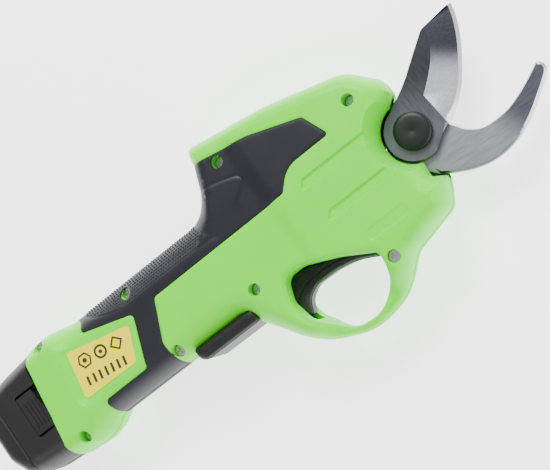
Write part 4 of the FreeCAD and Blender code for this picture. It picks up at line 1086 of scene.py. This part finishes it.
@dataclass
class Blades:
    """The moving blade, the hook and what holds them at the pivot.

    Attributes:
        blade_top: Upper face of the moving blade.
        blade_low: Lower face of the moving blade.
        hook_top: Upper face of the hook.
        hook_low: Lower face of the hook.
        grind: Depth of the ground bevel at the cutting edge.
        second: Depth of the second bevel, under the edge band that carries the painted highlight.
        back_bevel: Depth of the bevel along the hook's back.
        chamfer: Softened edge of the blanks.
        band: Width of the cutting edge band that carries the painted highlight.
    """

    blade_top: float = 3.0
    blade_low: float = -1.2
    hook_top: float = -1.3
    hook_low: float = -5.1
    grind: float = 2.6
    second: float = 0.5
    back_bevel: float = 0.75
    chamfer: float = 0.3
    band: float = 1.7

    def build(self) -> None:
        """Make every piece."""
        self.moving()
        self.hook()
        self.cap()

    def moving(self) -> None:
        """The curved blade with its ground bevel and edge band; the bevel's bright-to-dark run is painted reflection
        and the band's brightness is painted highlight.
        """
        edge, spine = smooth_line(CUTTING_EDGE, 0.8), smooth_line(SPINE, 0.9)
        hub = np.array(turned_arc(14.0, -77, -253, 46))
        loop = np.concatenate([spine[:-1], resample(np.array([SPINE[-1], CUTTING_EDGE[0]]), 1.0)[:18],
                               edge, [(10.3, -8.7)], hub[:-1]])
        back = smooth_line(GRIND_BACK, 0.9)
        front = resample(np.array([CUTTING_EDGE[-1], GRIND_BACK[0]]), 1.0)[:18]
        band = self.beside(edge, self.band)
        zone = np.concatenate([edge, front[1:], back[1:]])

        def top(p: np.ndarray) -> np.ndarray:
            """Height of the upper face, falling to the edge."""
            to_edge = away(p, edge, False)
            to_back = np.minimum(away(p, back, False), away(p, front, False))
            fall = to_back / np.maximum(to_edge + to_back, 1e-6)
            ground = within(p, zone) | (to_edge < 0.02)
            height = self.blade_top - np.where(ground, self.grind * fall, 0)
            height = height - np.where(ground, self.second * (1 - np.clip(to_edge / self.band, 0, 1)), 0)
            blank = np.minimum(away(p, spine, False), away(p, hub, False))
            return np.maximum(height - self.chamfer * (1 - np.clip(blank / 0.4, 0, 1)), self.blade_low + 0.15)

        def finish(p: np.ndarray) -> np.ndarray:
            """Blank, bevel or edge band with its painted highlight."""
            return np.where(within(p, zone), np.where(away(p, edge, False) < self.band - 0.02, 2, 1), 0)

        blade = plate("curved_blade", Patch([loop], [back, front, band], (0.4, 0.9, 2.2), 1.5), top,
                      lambda p: np.full(len(p), self.blade_low), [STEEL, GROUND, EDGE_HIGHLIGHT], finish, 22)
        ride(closed_out(blade), "moving_jaw", "blade_steel", "moving_blade")

    @staticmethod
    def beside(line: np.ndarray, gap: float) -> np.ndarray:
        """A line moved sideways into the blade.

        Args:
            line: The line's points.
            gap: How far it moves.

        Returns:
            Its points without the ends.
        """
        ahead = np.gradient(line, axis=0)
        normal = np.stack([ahead[:, 1], -ahead[:, 0]], 1)
        normal /= np.linalg.norm(normal, axis=1, keepdims=True)
        return (line + normal * gap)[1:-1]

    def hook(self) -> None:
        """The hooked counter blade with painted highlights on its rims."""
        inner, outer = smooth_line(HOOK_INNER, 0.9), smooth_line(HOOK_OUTER, 0.9)
        tip = [(63.2, -9.4), (64.1, -10.9)]
        hidden = [(-6, -18), *turned_arc(13.7, -120, -384, 40), (14.2, -6.2)]
        loop = np.concatenate([inner, tip, outer, hidden])
        outer_line = np.concatenate([tip, outer])
        whole_line = np.concatenate([inner, outer_line])
        bore = circle(0, 0, 8.1, 36)

        def top(p: np.ndarray) -> np.ndarray:
            """Height of the upper face with its softened rims."""
            return self.hook_top - self.back_bevel * (1 - np.clip(away(p, outer_line, False) / 1.25, 0, 1)) \
                - self.chamfer * (1 - np.clip(away(p, inner, False) / 0.4, 0, 1))

        def finish(p: np.ndarray) -> np.ndarray:
            """Blank or rim with a painted highlight, which widens towards the tip."""
            reach = 0.3 + 0.92 * ease((p[:, 0] - 30) / 16)
            return np.where((away(p, outer_line, False) < reach) | (away(p, inner, False) < 0.35), 1, 0)

        hook = plate("hook_jaw", Patch([loop, bore], [], (0.4, 1.25, 2.4), 1.6), top,
                     lambda p: self.hook_low + self.chamfer * (1 - np.clip(away(p, whole_line, False) / 0.4, 0, 1)),
                     [STEEL_HOOK, EDGE_HIGHLIGHT], finish, 22)
        ride(closed_out(hook), "body", "blade_steel", "hook_blade")

    def cap(self) -> None:
        """The round cover over the pivot."""
        profile = ((0.01, 3.16), (8.9, 3.16), (8.9, 5.8), (8.75, 6.3), (8.3, 6.75), (7.4, 7.1), (6.6, 7.2),
                   (1.0, 7.42), (0.8, 7.36), (0.01, 7.36))
        ride(lathe("pivot_cover", profile, BLACK, count=96), "body", "black_plastic", "pivot_cap")


# ---------------------------------------------------------------------------
# trigger and pad
# ---------------------------------------------------------------------------
TRIGGER = ((-36.6, -29.6, 4), (-38, -36.4, 3), (-46, -36.3, 2), (-56, -31.3, 30), (-66, -29.5, 20),
           (-78, -29.3, 10), (-84.5, -33, 8), (-86.8, -39.4, 2), (-92.3, -38.5, 3.3), (-95.5, -30, 6),
           (-91, -17.3, 6), (-80, -16.3, 12), (-66, -20.7, 30))
PAD = ((-141.4, -19.7, 1.0), (-141.4, -27.4, 4.5), (-106.1, -27.4, 3.0), (-106.1, -19.7, 1.0))


@dataclass
class Controls:
    """The trigger and the pad in front of the fingers.

    Attributes:
        half: Half thickness of the trigger.
        bend: Rounding of its edges.
        pad_half: Half thickness of the pad.
    """

    half: float = 7.45
    bend: float = 3.6
    pad_half: float = 17.0

    def build(self) -> None:
        """Make both pieces."""
        loop = Outline(TRIGGER, 0.9).points()
        ridge = smooth_line(((-91.3, -34), (-88, -29.5), (-83, -26.8), (-76, -25.6), (-66, -25.6), (-56, -28)), 1.0)

        def top(p: np.ndarray) -> np.ndarray:
            """Height of the lever's side with its pressed line."""
            return rim(away(p, loop), self.half, self.bend) - 0.5 * (1 - ease(away(p, ridge, False) / 0.9))

        lever = plate("trigger_lever", Patch([loop], [ridge], (DRAFT, 0.6, 1.3, 2.3, 3.4), 1.8), top,
                      lambda p: -top(p), [BLACK])
        ride(closed_out(lever), "trigger_lever", "black_plastic", "trigger")
        pad = Outline(PAD, 0.9).points()

        def pad_top(p: np.ndarray) -> np.ndarray:
            """Height of the pad's side."""
            return rim(away(p, pad), self.pad_half, 3.0)

        cushion = plate("finger_rest", Patch([pad], [], (DRAFT, 0.6, 1.3, 2.3), 1.6), pad_top,
                        lambda p: -pad_top(p), [BLACK])
        ride(closed_out(cushion), "body", "black_plastic", "finger_pad")


# ---------------------------------------------------------------------------
# battery pack
# ---------------------------------------------------------------------------
PACK_OUTLINE = ((-211.6, 29.3, 0.5), (-228.0, 27.4, 6), (-237.0, 26.0, 1), (-245.1, 22.8, 7), (-249.9, 8, 14),
                (-249.9, -10, 14), (-244, -21.6, 8), (-234, -24.8, 8), (-218.4, -26.0, 0.5))
PACK_NECK = ((-216.5, -16.6, 0), (-174.2, -16.6, 1), (-174.2, 22.1, 1), (-216.5, 22.1, 0))
# the flat front end of the outline, and where the rounding starts to change to the tail's, and over what length
PACK_FRONT, PACK_LOW, PACK_HIGH = -219.5, -25.7, 29.0
TAIL_RISE = (-232, 10)
FLAP_WINDOW = ((-226.0, -9.3, 0.9), (-212.0, -9.3, 0), (-212.0, 13.3, 0), (-226.0, 13.3, 0.9))


@dataclass
class Battery:
    """The battery pack's shell, end cap and neck.

    Attributes:
        half: Half thickness of the block.
        bend: Rounding of its long edges.
        tail_bend: Rounding towards the rear end.
        seam: Where the end cap starts.
        seam_depth: Depth of the line between shell and cap.
        window: Height of the floor under the press flaps.
        neck_half: Half thickness of the neck.
    """

    half: float = 23.3
    bend: float = 10.0
    tail_bend: float = 7.5
    seam: float = -237.0
    seam_depth: float = 0.45
    window: float = 19.6
    neck_half: float = 19.3

    def build(self) -> None:
        """Make the shell in two pieces, and the neck."""
        loop = Outline(PACK_OUTLINE, 1.0).points()
        front = (loop[:, 0] > PACK_FRONT) & (loop[:, 1] < PACK_HIGH) & (loop[:, 1] > PACK_LOW)
        self.rounded = np.roll(loop[~front], -int(np.argmax(front)), axis=0)
        self.opening = Outline(FLAP_WINDOW, 1.0).points()
        line = np.array([(self.seam, y) for y in np.arange(-23.6, 25.6, 1.0)])
        points, faces = Patch([loop, self.opening], [line]).build()
        faces = cut_out(points, faces, [loop])
        rear = points[faces].mean(1)[:, 0] < self.seam
        for name, chosen, node in (("pack_shell", ~rear, "battery_case"), ("pack_end", rear, "battery_end_cap")):
            block = stack(name, points, faces[chosen], self.surface, lambda p: -self.surface(p), [PACK])
            ride(closed_out(block), "battery_pack", "black_plastic", node)
        self.neck()

    def neck(self) -> None:
        """The block that slides into the collar."""
        neck = Outline(PACK_NECK, 1.2).points()
        sides = [neck[neck[:, 1] < -16.5], neck[neck[:, 1] > 22.0]]

        def neck_top(p: np.ndarray) -> np.ndarray:
            """Height of the neck's side."""
            depth = np.minimum(away(p, sides[0], False), away(p, sides[1], False))
            return rim(depth, self.neck_half, 4.0)

        inner = plate("pack_neck", Patch([neck], [], (DRAFT, 0.6, 1.3, 2.4, 3.6), 2.4), neck_top,
                      lambda p: -neck_top(p), [PACK])
        ride(closed_out(inner), "battery_pack", "black_plastic")

    def surface(self, p: np.ndarray) -> np.ndarray:
        """Height of the block, with its seam and the floor under the flaps.

        Args:
            p: Plan points.

        Returns:
            Heights.
        """
        depth = away(p, self.rounded, False)
        bend = self.bend + (self.tail_bend - self.bend) * ease((TAIL_RISE[0] - p[:, 0]) / TAIL_RISE[1])
        height = rim(depth, self.half, bend, bend + (self.half - 1.0 - bend) * 0.8)
        height = height - self.seam_depth * (1 - ease(np.abs(p[:, 0] - self.seam) / 0.7))
        return np.where(depth_in(p, self.opening) > 0.05, np.minimum(height, self.window), height)


# ---------------------------------------------------------------------------
# label
# ---------------------------------------------------------------------------
def bar(x: float, y: float, long: float, wide: float, degrees: float) -> np.ndarray:
    """Corners of a slanted bar.

    Args:
        x: Where its middle is along the tool.
        y: Where its middle is across it.
        long: Its length.
        wide: Its width.
        degrees: Its slant.

    Returns:
        The four corners.
    """
    a = math.radians(degrees)
    u, v = np.array([math.cos(a), math.sin(a)]) * long / 2, np.array([-math.sin(a), math.cos(a)]) * wide / 2
    return np.array([x, y]) + np.array([-u - v, u - v, u + v, -u + v])


@dataclass
class Label:
    """The yellow film with plain marks.

    Attributes:
        low: Under side of the film.
        top: Its face.
        ink: Thickness of the printed marks.
        slant: Angle of the row of bars, in degrees.
    """

    low: float = 21.4
    top: float = 21.62
    ink: float = 0.03
    slant: float = -12.0

    def build(self) -> None:
        """Make the film and its marks."""
        film = plate("label_film", Patch([Outline(FILM, 1.0).points()], [], (0.3,), 3.0),
                     lambda p: np.full(len(p), self.top), lambda p: np.full(len(p), self.low), [YELLOW])
        ride(closed_out(film), "body", "yellow_label", "label")
        points, faces = [], []
        for loops in self.marks():
            spots, cells = triangulate([(loop, True) for loop in loops])
            faces.append(cut_out(spots, cells, loops) + sum(len(p) for p in points))
            points.append(spots)
        marks = stack("label_marks", np.concatenate(points), np.concatenate(faces),
                      lambda p: np.full(len(p), self.top + self.ink), lambda p: np.full(len(p), self.top), [INK])
        ride(closed_out(marks), "body", "yellow_label")

    def marks(self) -> list[list[np.ndarray]]:
        """Outlines of the marks: a hexagon, a ring and a diamond above a row of bars.

        Returns:
            One list of loops for each mark, the outer loop first and then its holes.
        """
        upright = 90 + self.slant
        hexagon = [circle(-186.0, 7.2, 3.9, 6), circle(-186.0, 7.2, 2.9, 6)]
        ring = [circle(-177.0, 6.0, 3.4), circle(-177.0, 6.0, 2.3)]
        diamond = [circle(-168.2, 4.6, 3.8, 4), circle(-168.2, 4.6, 2.5, 4)]
        dots = [[circle(-186.0, 7.2, 1.2, 16)], [circle(-177.0, 6.0, 1.0, 16)]]
        bars = [[bar(x, -1.8 - 0.13 * (x + 190), 4.6, 1.3, upright)] for x in np.arange(-190.0, -168.0, 3.4)]
        return [hexagon, ring, diamond, *dots, *bars]


# ---------------------------------------------------------------------------
# other nodes, floor, lights and camera
# ---------------------------------------------------------------------------
FRAME_FINISHES = {
    GEAR: ("bevel_pinion", "bevel_sector", "ring_gear", "input_carrier", "output_carrier", "input_planet_1",
           "input_planet_2", "input_planet_3", "output_planet_1", "output_planet_2", "output_planet_3",
           "input_planet_pins", "output_planet_pins", "pinion_bearing_1", "pinion_bearing_2", "rotor_shaft",
           "rotor_magnet", "trigger_pin", "trigger_spring", "trigger_magnet"),
    ZINC: ("housing_screws", "hook_screws", "pivot_bolt", "pivot_nut", "motor_can"),
    CASE: ("gear_case",),
    BRONZE: ("pivot_bushing",),
    COPPER: ("motor_stator", "contact_blades"),
    BOARD: ("controller_board", "hall_sensor_board", "pack_board"),
    BLACK: ("power_transistors", "motor_end_bell", "terminal_block"),
    PACK: ("battery_flap_left", "battery_flap_right"),
    SLEEVE: ("battery_cells", "buffer_capacitor"),
    RED: ("motor_leads", "supply_leads"),
}


def dress_frame() -> None:
    """Give every node of the frame that stays in view its finish."""
    for finish, names in FRAME_FINISHES.items():
        for name in names:
            obj = frame["nodes"][name]
            obj.data.materials.clear()
            obj.data.materials.append(finish.material())
            log.info("%s: %s", name, finish.name)


@dataclass
class Studio:
    """Floor, lights and camera.

    Attributes:
        turn: Heading of the camera about the upright axis, in degrees.
        lean: Lean of the camera from straight above, in degrees.
        far: Distance from the tool, in millimetres.
        lens: Focal length, in millimetres.
        look: The point that the camera looks at, in millimetres from the pivot.
    """

    turn: float = 37.0
    lean: float = 15.0
    far: float = 600.0
    lens: float = 83.56
    look: tuple[float, float, float] = (-80.93, 1.97, 0.0)

    def build(self) -> None:
        """Make everything."""
        self.floor()
        self.lights()
        self.camera()

    def axes(self) -> tuple[Vector, Vector, Vector]:
        """Directions of the camera.

        Returns:
            Its right, its up and its back.
        """
        turn, lean = math.radians(self.turn), math.radians(self.lean)
        flat = Vector((math.cos(turn), -math.sin(turn), 0))
        up = Vector((math.sin(turn), math.cos(turn), 0))
        back = math.cos(lean) * Vector((0, 0, 1)) + math.sin(lean) * flat
        return math.cos(lean) * flat - math.sin(lean) * Vector((0, 0, 1)), up, back

    def floor(self) -> None:
        """A pale floor under the tool."""
        mesh = bpy.data.meshes.new("floor")
        half = 4.0
        mesh.from_pydata([(-half, -half, 0), (half, -half, 0), (half, half, 0), (-half, half, 0)], [],
                         [(0, 1, 2, 3)])
        paper = Finish("white_paper", (0.86, 0.86, 0.87), (0.86, 0.86, 0.87), (0.7, 0.8), grain=3.0, bump=0.0)
        mesh.materials.append(paper.material())
        shader = paper.material().node_tree.nodes["Principled BSDF"]
        shader.inputs["Emission Color"].default_value = (1.0, 1.0, 1.0, 1.0)
        shader.inputs["Emission Strength"].default_value = 2.2
        floor = bpy.data.objects.new("floor", mesh)
        bpy.context.collection.objects.link(floor)

    def lights(self) -> None:
        """Soft lamps and a pale sky."""
        right, up, back = self.axes()
        centre = PIVOT + Vector((-80, 0, 0)) * MM
        for name, where, size, power in (
                ("key", -0.35 * right + 0.75 * up + 0.75 * back, 0.5, 17.0),
                ("fill", 0.9 * right - 0.1 * up + 0.6 * back, 0.8, 5.0),
                ("low", -0.5 * right - 0.8 * up + 0.5 * back, 0.6, 3.5)):
            lamp = bpy.data.lights.new(name, "AREA")
            lamp.size, lamp.energy = size, power
            obj = bpy.data.objects.new(name, lamp)
            obj.location = centre + where
            obj.rotation_euler = (-where).to_track_quat("-Z", "Y").to_euler()
            bpy.context.collection.objects.link(obj)
        world = bpy.data.worlds.new("sky")
        world.use_nodes = True
        world.node_tree.nodes["Background"].inputs["Color"].default_value = (1.0, 1.0, 1.0, 1.0)
        world.node_tree.nodes["Background"].inputs["Strength"].default_value = 0.7
        bpy.context.scene.world = world

    def camera(self) -> None:
        """The camera."""
        right, up, back = self.axes()
        data = bpy.data.cameras.new("camera")
        data.lens, data.sensor_width = self.lens, 36.0
        camera = bpy.data.objects.new("camera", data)
        turned = Matrix((right, up, back)).transposed().to_4x4()
        turned.translation = PIVOT + (Vector(self.look) + self.far * back) * MM
        camera.matrix_world = turned
        bpy.context.collection.objects.link(camera)
        bpy.context.scene.camera = camera


def main() -> None:
    """Build the pruner round its frame."""
    Housing().build()
    Blades().build()
    Controls().build()
    Battery().build()
    Label().build()
    dress_frame()
    Studio().build()


if __name__ == "__main__":
    main()
